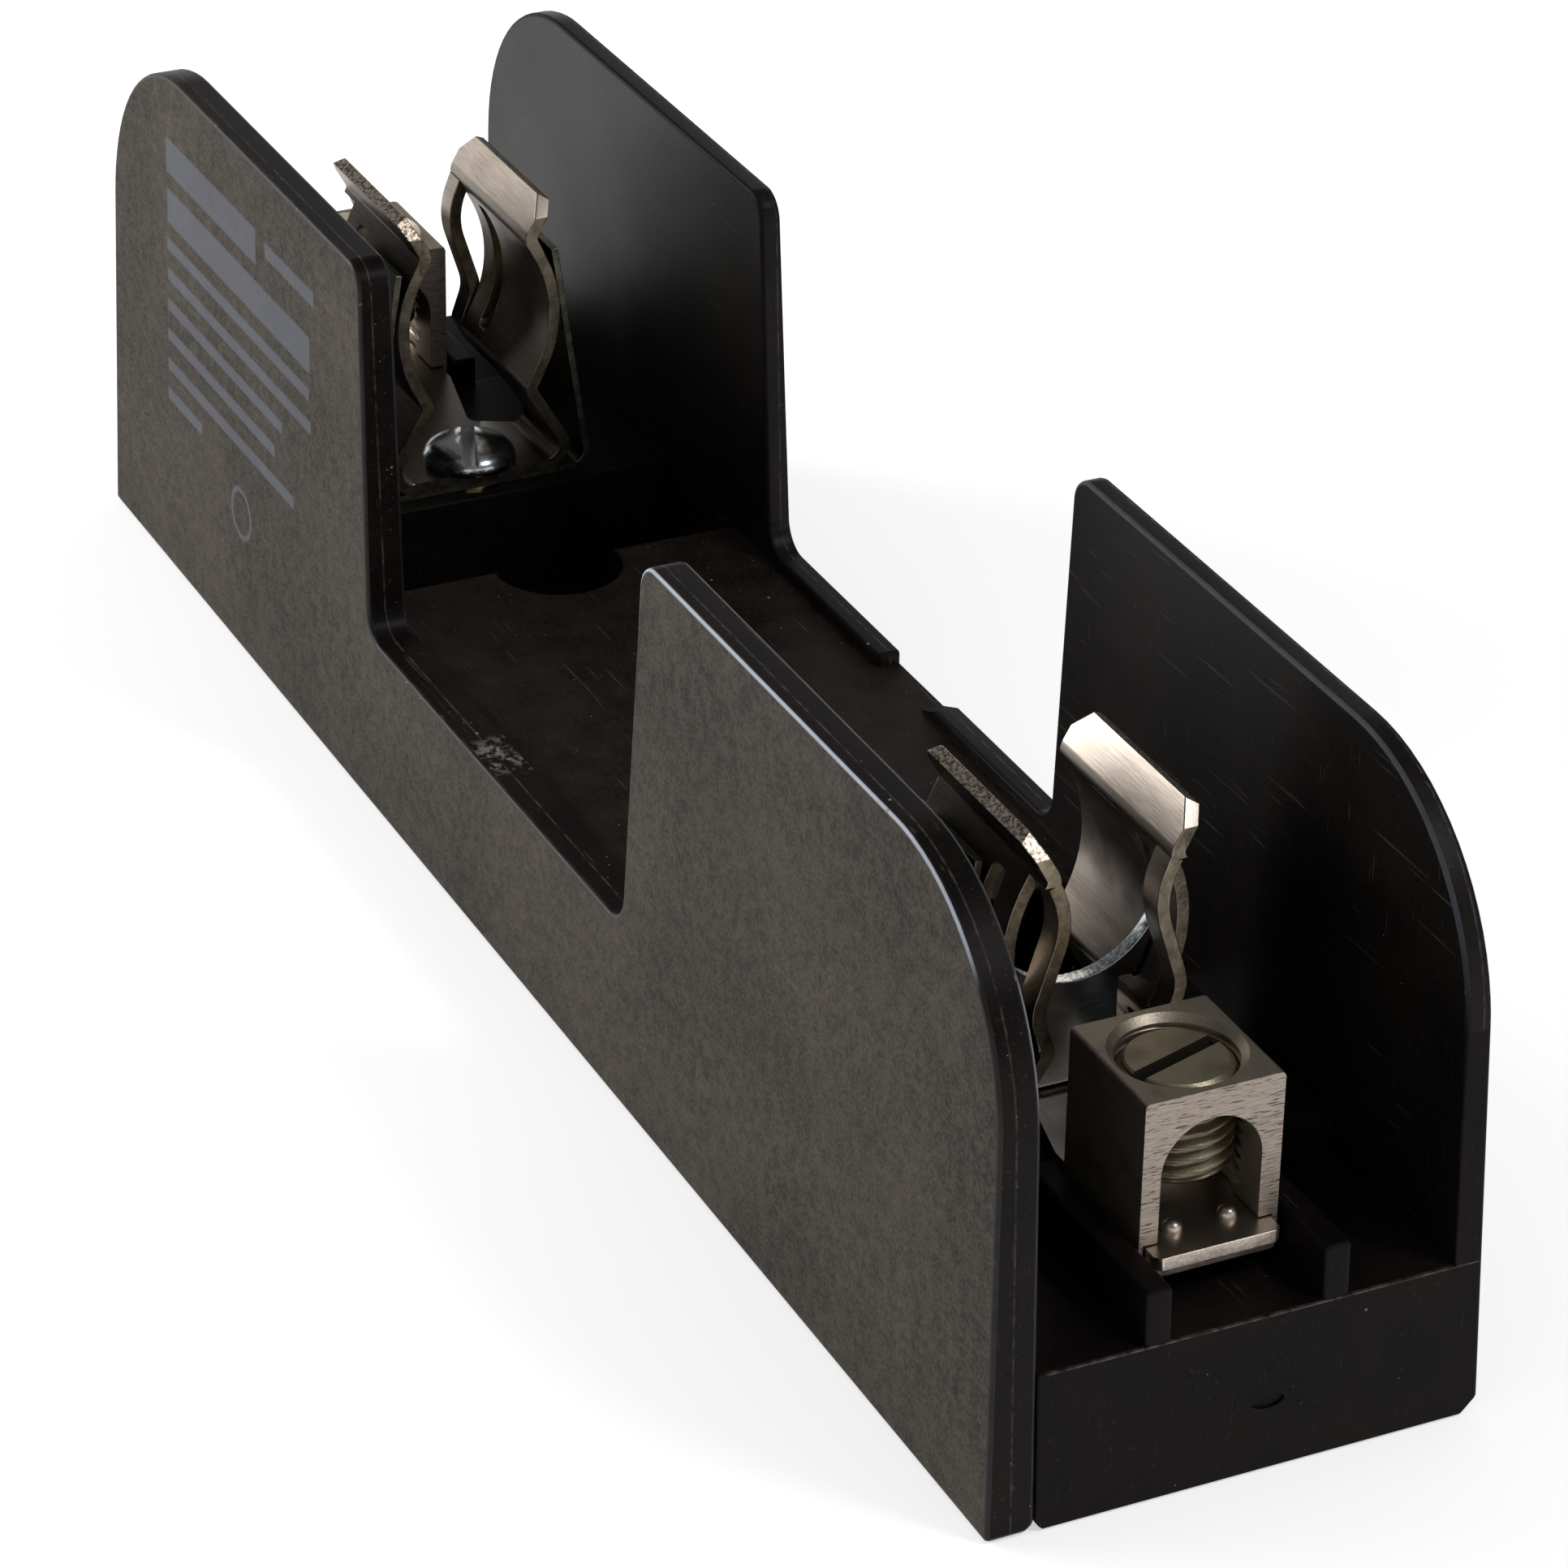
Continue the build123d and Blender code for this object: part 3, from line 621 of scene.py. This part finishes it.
def take(piece):
    """Makes one piece the only one that the operators act on."""
    bpy.ops.object.select_all(action="DESELECT")
    piece.select_set(True)
    bpy.context.view_layer.objects.active = piece


def stitched_copy(node, name):
    """A copy of a CAD node as a clean mesh, with no finish yet."""
    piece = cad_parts[node].copy()
    piece.data = piece.data.copy()
    piece.name = name
    piece.parent = None
    for key in list(piece.keys()):
        del piece[key]
    bpy.context.scene.collection.objects.link(piece)
    piece.data.materials.clear()
    take(piece)
    bpy.ops.mesh.customdata_custom_splitnormals_clear()
    bpy.ops.object.mode_set(mode="EDIT")
    bpy.ops.mesh.select_all(action="SELECT")
    bpy.ops.mesh.remove_doubles(threshold=MERGE_DISTANCE)
    bpy.ops.mesh.dissolve_limited(angle_limit=FLAT_ANGLE)
    bpy.ops.object.mode_set(mode="OBJECT")
    return piece


def choose_faces(piece, test):
    """Selects only the faces whose centre, in millimetres, and normal pass the test."""
    take(piece)
    bpy.ops.object.mode_set(mode="EDIT")
    bpy.ops.mesh.select_all(action="DESELECT")
    bpy.ops.object.mode_set(mode="OBJECT")
    for face in piece.data.polygons:
        face.select = test(face.center / MM, face.normal)


def finish_faces(piece, slot, test):
    """Gives this material slot to the faces that pass the test."""
    choose_faces(piece, test)
    chosen = sum(face.select for face in piece.data.polygons)
    piece.active_material_index = slot
    bpy.ops.object.mode_set(mode="EDIT")
    bpy.ops.object.material_slot_assign()
    bpy.ops.object.mode_set(mode="OBJECT")
    print(f"{piece.name}: {chosen} faces with {piece.data.materials[slot].name}")


def notch_corners(net):
    """The tips of narrow corners in many-sided faces, where two bevels would run past each other."""
    corners = (loop for face in net.faces if len(face.verts) >= NOTCH_SIDES for loop in face.loops)
    return {loop.vert for loop in corners if loop.calc_angle() < NOTCH_ANGLE}


def mark_outer_edges(piece, angle, left_sharp):
    """Gives a bevel weight to each edge that stands out and turns by more than this angle."""
    net = bmesh.new()
    net.from_mesh(piece.data)
    weight = net.edges.layers.float.new("bevel_weight_edge")
    tips = notch_corners(net)
    for edge in net.edges:
        middle = (edge.verts[0].co + edge.verts[1].co) / 2 / MM
        stands_out = edge.is_manifold and edge.is_convex and edge.calc_face_angle() > radians(angle)
        if stands_out and not left_sharp(middle) and tips.isdisjoint(edge.verts):
            edge[weight] = 1.0
    net.to_mesh(piece.data)
    net.free()


def round_edges(piece, width_mm, edge_slot=-1, angle=30.0, left_sharp=lambda middle: False):
    """Rounds the edges that stand out, and gives the new faces the edge finish."""
    take(piece)
    mark_outer_edges(piece, angle, left_sharp)
    bevel = piece.modifiers.new("soften", "BEVEL")
    bevel.width = width_mm * MM
    bevel.segments = EDGE_SEGMENTS
    bevel.limit_method = "WEIGHT"
    bevel.use_clamp_overlap = False
    bevel.material = edge_slot
    bpy.ops.object.modifier_apply(modifier=bevel.name)


def shade(piece, smooth_angle=SMOOTH_ANGLE):
    """Smooth shading across gentle edges, with the large faces kept flat."""
    take(piece)
    bpy.ops.object.shade_smooth_by_angle(angle=smooth_angle)
    even = piece.modifiers.new("even", "WEIGHTED_NORMAL")
    even.keep_sharp = True
    bpy.ops.object.modifier_apply(modifier=even.name)


def coat(piece, *materials):
    """Adds finishes to a piece's material slots. The first one covers it."""
    for material in materials:
        piece.data.materials.append(material)


def mount_on(piece, body, slot, *nodes):
    """Lets a finished piece stand for its CAD nodes and move with its body."""
    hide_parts(*nodes)
    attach(piece, body)


# %% [markdown]
# ## Cutting tools
# Slots, threaded holes and the scar of the mould's gate are made as on a workbench: a solid of the tool's
# shape is put in place and taken away from the piece. A boolean does that, and its tool is thrown away.

# %% Cutting tools
def combine(piece, tool, operation):
    """Joins or cuts a piece with a tool, and removes the tool."""
    take(piece)
    change = piece.modifiers.new("change", "BOOLEAN")
    change.operation = operation
    change.solver = "EXACT"
    change.object = tool
    bpy.ops.object.modifier_apply(modifier=change.name)
    bpy.data.objects.remove(tool)


def settle(piece):
    """Puts a piece's place, turn and size into its mesh, so that its object sits at the origin."""
    take(piece)
    bpy.ops.object.transform_apply(location=True, rotation=True, scale=True)


# %% [markdown]
# ## The moulded body and the side plate
# Both are copies of their solids. The body's floor between the clips is where dust settles, the inner face
# of its wall is smoother and a touch glossier than the rest, and the rims carry the parting line, so these
# get finishes of their own. The bevel then gives each rim its worn edge. Last, a flattened cylinder cuts
# the shallow scar of the gate, where the compound came into the mould, out of the near end.

# %% Moulded body
FLOOR_LEVEL = 15.2
BAY_LEVEL = 12.65
WALL_INNER = 17.4
BODY_ROUNDING = 0.3
END_RIM_X = 88
GATE_PLACE = (88.95, 2.43, 5.53)
GATE_SIZE = (0.55, 1.3, 0.8)
GATE_SIDES = 20


def is_end_rim(middle):
    """The rim of an end wall, which is as sharp as it left the mould."""
    return abs(middle.x) > END_RIM_X and abs(middle.z - BAY_LEVEL) < 0.1


def is_wall_face(centre, normal):
    return abs(normal.y) > LOOKS_ALONG and centre.y > WALL_INNER - 1


def is_floor(centre, normal):
    return normal.z > LOOKS_ALONG and abs(centre.z - FLOOR_LEVEL) < 0.2


def is_wall_rim(centre, normal):
    return abs(normal.y) < LOOKS_ACROSS and centre.y > WALL_INNER


body = stitched_copy("base_block", "moulded_body")
coat(body, body_black, wall_black, floor_dusty, body_edge, wall_rim)
finish_faces(body, 1, is_wall_face)
finish_faces(body, 2, is_floor)
finish_faces(body, 4, is_wall_rim)
round_edges(body, BODY_ROUNDING, edge_slot=3, left_sharp=is_end_rim)
bpy.ops.mesh.primitive_cylinder_add(vertices=GATE_SIDES, radius=1, depth=1, rotation=(0, radians(90), 0),
                                    location=[side * MM for side in GATE_PLACE])
gate = bpy.context.object
gate.scale = [side * MM for side in GATE_SIZE]
settle(gate)
combine(body, gate, "DIFFERENCE")
shade(body)
mount_on(body, "block", "phenolic", "base_block")

# %% Side plate
SEAM = -16.0
PLATE_ROUNDING = 0.35


def is_outer_face(centre, normal):
    return normal.y < -LOOKS_ALONG and centre.y < SEAM - 2


def is_plate_rim(centre, normal):
    return abs(normal.y) < LOOKS_ACROSS and centre.y < SEAM and centre.z > 2


plate = stitched_copy("side_plate", "printed_side_plate")
coat(plate, body_black, worn_and_lit_plate_face, plate_edge, plate_rim)
finish_faces(plate, 1, is_outer_face)
finish_faces(plate, 3, is_plate_rim)
round_edges(plate, PLATE_ROUNDING, edge_slot=2)
shade(plate)
mount_on(plate, "block", "phenolic_plate", "side_plate")

# %% [markdown]
# ## Clips, springs and the rejection plate
# A stamping's two broad faces are rolled and plated, and its outline was sheared by the die. On these
# parts the cut faces look along the block or straight up, so a test on the normal finds them. The clip's
# lips are torn coarser than its sides, and the end of its strap shines where wires have rubbed it. The near
# and far clip are the same part, so one function dresses both.

# %% Stamped parts
BUMP_TOP = 17.15
BUMP_ROUNDING = 0.62
BUMP_SEGMENTS = 5
LANE_Y = 0.6
LIP_LEVEL = 39.6
STRIP_JOINT = 37.4
STRAP_END = 80.0
CUT_FACE = 0.7
SPRING_EDGE_LEVEL = 30
ARC_LEVEL = 20
CLIP_ROUNDING = 0.1
SPRING_ROUNDING = 0.08
REJECTION_ROUNDING = 0.12
STAMPING_ANGLE = 38.0


def round_bumps(piece):
    """Turns the two small pegs that grip the wire into domes."""
    choose_faces(piece, lambda centre, normal: normal.z > LOOKS_ALONG and abs(centre.z - BUMP_TOP) < 0.1)
    bpy.ops.object.mode_set(mode="EDIT")
    bpy.ops.mesh.bevel(offset=BUMP_ROUNDING * MM, segments=BUMP_SEGMENTS, affect="EDGES")
    bpy.ops.object.mode_set(mode="OBJECT")


def is_cut(centre, normal):
    """A face that looks along the block."""
    return abs(normal.x) > CUT_FACE


def is_spring_cut(centre, normal):
    return is_cut(centre, normal) or (normal.z > CUT_FACE and centre.z > SPRING_EDGE_LEVEL)


def is_arc_cut(centre, normal):
    return abs(normal.x) < 0.5 and centre.z > ARC_LEVEL


def is_lip_edge(centre, normal):
    """The top of a lip, but not its face towards the other leaf."""
    return centre.z > LIP_LEVEL and normal.y * (centre.y - LANE_Y) > -0.5


def is_strap_end(centre, normal):
    return abs(centre.x) > STRAP_END and is_cut(centre, normal)


def is_right_lip_corner(centre, normal):
    """The slanted corners of the right leaf's lip, which kept their plating."""
    return centre.z > LIP_LEVEL and abs(normal.x) > LOOKS_ACROSS and centre.y > LANE_Y


def dress_stamping(piece, node, slot, finishes, rounding, places):
    """Finishes and mounts a stamping. Each place is the number of a finish and the test for its faces."""
    coat(piece, *finishes)
    for number, test in places:
        finish_faces(piece, number, test)
    round_edges(piece, rounding, angle=STAMPING_ANGLE,
                left_sharp=lambda middle: abs(middle.z - STRIP_JOINT) < 0.45)
    shade(piece)
    mount_on(piece, "block", slot, node)


for end in ("near", "far"):
    clip = stitched_copy(f"clip_{end}", f"fuse_clip_{end}")
    round_bumps(clip)
    places = [(1, is_cut), (2, is_lip_edge), (3, is_strap_end), (0, is_right_lip_corner)]
    dress_stamping(clip, f"clip_{end}", "plated_bronze", (clip_plated, clip_cut, clip_tip, strap_cut),
                   CLIP_ROUNDING, places)
    spring = stitched_copy(f"spring_{end}", f"backing_spring_{end}")
    dress_stamping(spring, f"spring_{end}", "spring_steel", (spring_dark, spring_cut),
                   SPRING_ROUNDING, [(1, is_spring_cut)])
rejection = stitched_copy("rejection_plate", "fuse_rejection_plate")
dress_stamping(rejection, "rejection_plate", "zinc_steel", (zinc_bright, zinc_cut),
               REJECTION_ROUNDING, [(1, is_arc_cut)])
for end in ("near", "far"):
    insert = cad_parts[f"clip_insert_{end}"]
    insert.data.materials.clear()
    coat(insert, insert_brass)

# %% [markdown]
# ## A thread
# A threaded rod is a skin of level rings. Going round a ring, the tooth's profile is read a little further
# on at each step, so the crest climbs one pitch in a full turn. The rings near both ends are held inside a
# cone, which gives the run-out of a real screw. The skin is closed from the start, so it can be cut, and
# the same rod, a little larger, is the tap that makes the grooves in the lug. The wire screw is such a rod
# with a screwdriver slot, which a bar cuts out of its top.

# %% Threaded rod
THREAD_PITCH = 1.058
THREAD_STEPS = 48
RINGS_PER_TURN = 12
TOOTH = [(0.0, 0.0), (0.14, 0.0), (0.46, 1.0), (0.60, 1.0), (0.92, 0.0), (1.0, 0.0)]
SLOT_LENGTH = 12.0
CUTTER_PAST = 2


def tooth_height(rise):
    """How far out the tooth reaches, from 0 at the root to 1 at the crest, at this part of the pitch."""
    for (from_rise, from_height), (to_rise, to_height) in zip(TOOTH, TOOTH[1:]):
        if rise <= to_rise:
            share = (rise - from_rise) / (to_rise - from_rise)
            return from_height + (to_height - from_height) * share
    return 0.0


def threaded_rod(name, root, crest, bottom, top, chamfer):
    """A threaded rod about the Z axis with chamfered ends. Sizes in millimetres."""
    net = bmesh.new()
    ring_count = round((top - bottom) / THREAD_PITCH * RINGS_PER_TURN)
    rings = []
    for count in range(ring_count + 1):
        z = bottom + (top - bottom) * count / ring_count
        cone = crest - max(0.0, chamfer - min(z - bottom, top - z))
        points = []
        for step in range(THREAD_STEPS):
            turned = step / THREAD_STEPS
            radius = min(cone, root + (crest - root) * tooth_height((z / THREAD_PITCH - turned) % 1.0))
            point = Matrix.Rotation(2 * pi * turned, 3, "Z") @ Vector((radius, 0, z)) * MM
            points.append(net.verts.new(point))
        rings.append(points)
    for lower, upper in zip(rings, rings[1:]):
        for step in range(THREAD_STEPS):
            after = (step + 1) % THREAD_STEPS
            net.faces.new((lower[step], lower[after], upper[after], upper[step]))
    net.faces.new(reversed(rings[0]))
    net.faces.new(rings[-1])
    mesh = bpy.data.meshes.new(name)
    net.to_mesh(mesh)
    net.free()
    rod = bpy.data.objects.new(name, mesh)
    bpy.context.scene.collection.objects.link(rod)
    return rod


def slot_cutter(width, depth, top, turn_degrees):
    """A bar that cuts a screwdriver slot. Sizes in millimetres."""
    bpy.ops.mesh.primitive_cube_add(size=1, location=(0, 0, (top - depth / 2) * MM + CUTTER_PAST / 2 * MM),
                                    rotation=(0, 0, radians(turn_degrees)))
    cutter = bpy.context.object
    cutter.scale = (SLOT_LENGTH * MM, width * MM, (depth + CUTTER_PAST) * MM)
    settle(cutter)
    return cutter


def place_at_end(piece, end, x):
    """Moves a piece made about the Z axis to one end of the lane. The far end is turned half round."""
    piece.location = (x * MM if end == "near" else -x * MM, LANE_Y * MM, 0)
    piece.rotation_euler = (0, 0, 0 if end == "near" else radians(180))
    settle(piece)


# %% Wire screws
LUG_CENTRE_X = 76.55
WIRE_SCREW_BOTTOM = 19.4
WIRE_SCREW_TOP = 27.6
WIRE_SCREW_CREST = 4.45
WIRE_SCREW_ROOT = 3.86
WIRE_SCREW_CHAMFER = 0.75
WIRE_SLOT_WIDTH = 1.15
WIRE_SLOT_DEPTH = 1.8
WIRE_SLOT_TURN = 107.3
WIRE_SCREW_SMOOTH = radians(40)


def is_screw_top(centre, normal):
    return normal.z > 0.5 and centre.z > WIRE_SCREW_TOP - 0.8


for end in ("near", "far"):
    wire_screw = threaded_rod(f"wire_screw_{end}", WIRE_SCREW_ROOT, WIRE_SCREW_CREST, WIRE_SCREW_BOTTOM,
                              WIRE_SCREW_TOP, WIRE_SCREW_CHAMFER)
    cutter = slot_cutter(WIRE_SLOT_WIDTH, WIRE_SLOT_DEPTH, WIRE_SCREW_TOP, WIRE_SLOT_TURN)
    combine(wire_screw, cutter, "DIFFERENCE")
    # The top takes the lighter tone as painted light, and the rest takes the darker tone as painted shade
    coat(wire_screw, screw_thread_painted_shade, screw_top_painted_light)
    finish_faces(wire_screw, 1, is_screw_top)
    shade(wire_screw, WIRE_SCREW_SMOOTH)
    place_at_end(wire_screw, end, LUG_CENTRE_X)
    mount_on(wire_screw, f"wire_screw_{end}", "screw_aluminium", f"lug_screw_{end}")
    print(wire_screw.name, "faces:", len(wire_screw.data.polygons))

# %% [markdown]
# ## The box lugs
# The two sawn faces are told from the drawn ones by their place, and a small bevel takes off the sharp
# corners. Then the tap goes through, which leaves grooves in the bore and down the cheeks of the arch,
# where the screw is wider than the opening. It comes last, because a bevel would follow every groove.

# %% Lugs
LUG_HALF_LENGTH = 5.65
LUG_ROUNDING = 0.12
LUG_EDGE_ANGLE = 55.0
LUG_SMOOTH = radians(28)
TAP_ROOT = 4.4
TAP_CREST = 4.95
TAP_BOTTOM = 17.3
TAP_TOP = 27.4
TAP_CHAMFER = 0.4


def is_sawn(centre, normal):
    """A face at half the lug's length from its middle."""
    from_middle = abs(abs(centre.x) - LUG_CENTRE_X)
    return abs(from_middle - LUG_HALF_LENGTH) < 0.05


for end in ("near", "far"):
    lug = stitched_copy(f"lug_{end}", f"box_lug_{end}")
    coat(lug, lug_drawn, lug_sawn)
    finish_faces(lug, 1, is_sawn)
    round_edges(lug, LUG_ROUNDING, angle=LUG_EDGE_ANGLE)
    tap = threaded_rod("tap", TAP_ROOT, TAP_CREST, TAP_BOTTOM, TAP_TOP, TAP_CHAMFER)
    place_at_end(tap, end, LUG_CENTRE_X)
    combine(lug, tap, "DIFFERENCE")
    shade(lug, LUG_SMOOTH)
    mount_on(lug, "block", "lug_aluminium", f"lug_{end}")
    print(lug.name, "faces:", len(lug.data.polygons))

# %% [markdown]
# ## The clip screws
# Each clip is held by a round-head screw. The head starts as a short cylinder, and its top face is extruded
# and drawn in ring by ring along an ellipse, which makes the dome. The shank hides in the hole, so it is a
# plain bar that is joined on. A thin bar then cuts the slot, and a bevel breaks its edges. The near screw
# sits higher than the far one, because the rejection plate lies under its head.

# %% Clip screws
CLIP_SCREW_X = 52.4
HEAD_SEATS = {"near": 17.55, "far": 16.35}
HEAD_RADIUS = 4.1
HEAD_HEIGHT = 2.4
HEAD_RIM = 0.5
HEAD_RINGS = 7
HEAD_SIDES = 64
DOME_TIP = 0.08
SHANK_RADIUS = 2.08
SHANK_SIDES = 48
SHANK_OVERLAP = 0.2
SCREW_TIP = 6.6
HEAD_SLOT_WIDTH = 1.1
HEAD_SLOT_DEPTH = 1.3
HEAD_SLOT_TURN = -20.0
HEAD_ROUNDING = 0.07
HEAD_EDGE_ANGLE = 35.0


def raise_dome(seat):
    """Extrudes the chosen top face in rings that follow an ellipse."""
    past_radius, past_rise = 1.0, 0.0
    for count in range(1, HEAD_RINGS + 1):
        radius = max(DOME_TIP, (1 - (count / HEAD_RINGS) ** 2) ** 0.5)
        rise = count / HEAD_RINGS * (HEAD_HEIGHT - HEAD_RIM)
        step = (0, 0, (rise - past_rise) * MM)
        bpy.ops.mesh.extrude_region_move(TRANSFORM_OT_translate={"value": step})
        grow = radius / past_radius
        middle = (0, 0, (seat + HEAD_RIM + rise) * MM)
        bpy.ops.transform.resize(value=(grow, grow, 1), center_override=middle)
        past_radius, past_rise = radius, rise


def round_head(name, seat):
    """A round-head screw about the Z axis, with the underside of its head at this height."""
    bpy.ops.mesh.primitive_cylinder_add(vertices=HEAD_SIDES, radius=HEAD_RADIUS * MM, depth=HEAD_RIM * MM,
                                        location=(0, 0, (seat + HEAD_RIM / 2) * MM))
    head = bpy.context.object
    head.name = name
    settle(head)
    choose_faces(head, lambda centre, normal: normal.z > LOOKS_ALONG)
    bpy.ops.object.mode_set(mode="EDIT")
    raise_dome(seat)
    bpy.ops.object.mode_set(mode="OBJECT")
    shank_top = seat + SHANK_OVERLAP
    bpy.ops.mesh.primitive_cylinder_add(vertices=SHANK_SIDES, radius=SHANK_RADIUS * MM,
                                        depth=(shank_top - SCREW_TIP) * MM,
                                        location=(0, 0, (shank_top + SCREW_TIP) / 2 * MM))
    shank = bpy.context.object
    settle(shank)
    combine(head, shank, "UNION")
    cutter = slot_cutter(HEAD_SLOT_WIDTH, HEAD_SLOT_DEPTH, seat + HEAD_HEIGHT, HEAD_SLOT_TURN)
    combine(head, cutter, "DIFFERENCE")
    coat(head, zinc_bright, zinc_cut)
    finish_faces(head, 1, lambda centre, normal: abs(normal.z) < LOOKS_ACROSS and centre.z > seat + 0.6)
    round_edges(head, HEAD_ROUNDING, angle=HEAD_EDGE_ANGLE)
    shade(head)
    return head


for end, seat in HEAD_SEATS.items():
    screw = round_head(f"round_head_screw_{end}", seat)
    place_at_end(screw, end, CLIP_SCREW_X)
    mount_on(screw, "block", "zinc_steel", f"clip_screw_{end}")
    print(screw.name, "faces:", len(screw.data.polygons))

# %% [markdown]
# ## Floor and light
# The block stands on a pale floor in soft studio light from three round lamps. A broad one on the side
# plate's side gives that face its even tone. A small, low one behind the far end on the same side stands
# for a window, and one above the near end, on the other side, lights the tops. The floor and the sky are
# seen as white by the camera and by mirrors, but light the block no more than a plain room does.

# %% Stage
WHITE = (1.0, 1.0, 1.0, 1.0)
BLACK = (0.0, 0.0, 0.0, 1.0)
ROOM_LIGHT = (0.34, 0.34, 0.357, 1.0)
CEILING_LIGHT = (0.12, 0.12, 0.12, 1.0)
HORIZON = (0.08, 0.5)
FLOOR_GLOW = 0.55
FLOOR_SIZE = 6
FLOOR_DROP = 0.0002
FLOOR_PALE = (0.9, 0.9, 0.9, 1.0)


def seen_rays(graph):
    """1 for a ray from the camera, a mirror or glass, and 0 for one that gathers light."""
    camera_ray = graph.node("ShaderNodeLightPath", {}, {}, "Is Camera Ray")
    mirror_ray = graph.node("ShaderNodeLightPath", {}, {}, "Is Glossy Ray")
    glass_ray = graph.node("ShaderNodeLightPath", {}, {}, "Is Transmission Ray")
    return camera_ray.over(mirror_ray).over(glass_ray)


world = bpy.data.worlds.new("studio")
bpy.context.scene.world = world
world.use_nodes = True
sky = Graph(world.node_tree)
direction = sky.node("ShaderNodeTexCoord", {}, {}, "Generated")
height = sky.node("ShaderNodeSeparateXYZ", {}, {0: direction}, "Z")
backdrop = sky.mix(height.rise(*HORIZON), WHITE, CEILING_LIGHT)
sky.link(sky.mix(seen_rays(sky), ROOM_LIGHT, backdrop), world.node_tree.nodes["Background"], "Color")

bpy.ops.mesh.primitive_plane_add(size=FLOOR_SIZE, location=(0, 0, -FLOOR_DROP))
ground = bpy.context.object
ground.name = "studio_floor"
ground_finish = Finish("studio_floor", Roughness=0.9, Specular_IOR_Level=0.1, Base_Color=FLOOR_PALE,
                       Emission_Strength=FLOOR_GLOW)
glow = ground_finish.mix(seen_rays(ground_finish), BLACK, WHITE)
coat(ground, ground_finish.feed(Emission_Color=glow))

# %% Lamps
# Name, place and target in metres, diameter, power in watts, and colour
LAMPS = [
    ("window", (-0.392, -0.369, 0.175), (0, 0, 0.03), 0.16, 1.1, (1.0, 0.985, 0.96)),
    ("ceiling_lamp", (0.5, 0.38, 0.8), (0, 0, 0.02), 0.25, 2.0, (1.0, 1.0, 1.0)),
    ("room_fill", (-0.6, -0.95, 0.5), (0, 0, 0.02), 0.7, 3.2, (1.0, 1.0, 1.0)),
]
for name, place, target, diameter, power, colour in LAMPS:
    light = bpy.data.lights.new(name, "AREA")
    light.shape = "DISK"
    light.size = diameter
    light.energy = power
    light.color = colour
    holder = bpy.data.objects.new(name, light)
    holder.location = place
    holder.rotation_euler = (Vector(target) - Vector(place)).to_track_quat("-Z", "Y").to_euler()
    bpy.context.scene.collection.objects.link(holder)
print("lamps:", [lamp[0] for lamp in LAMPS])
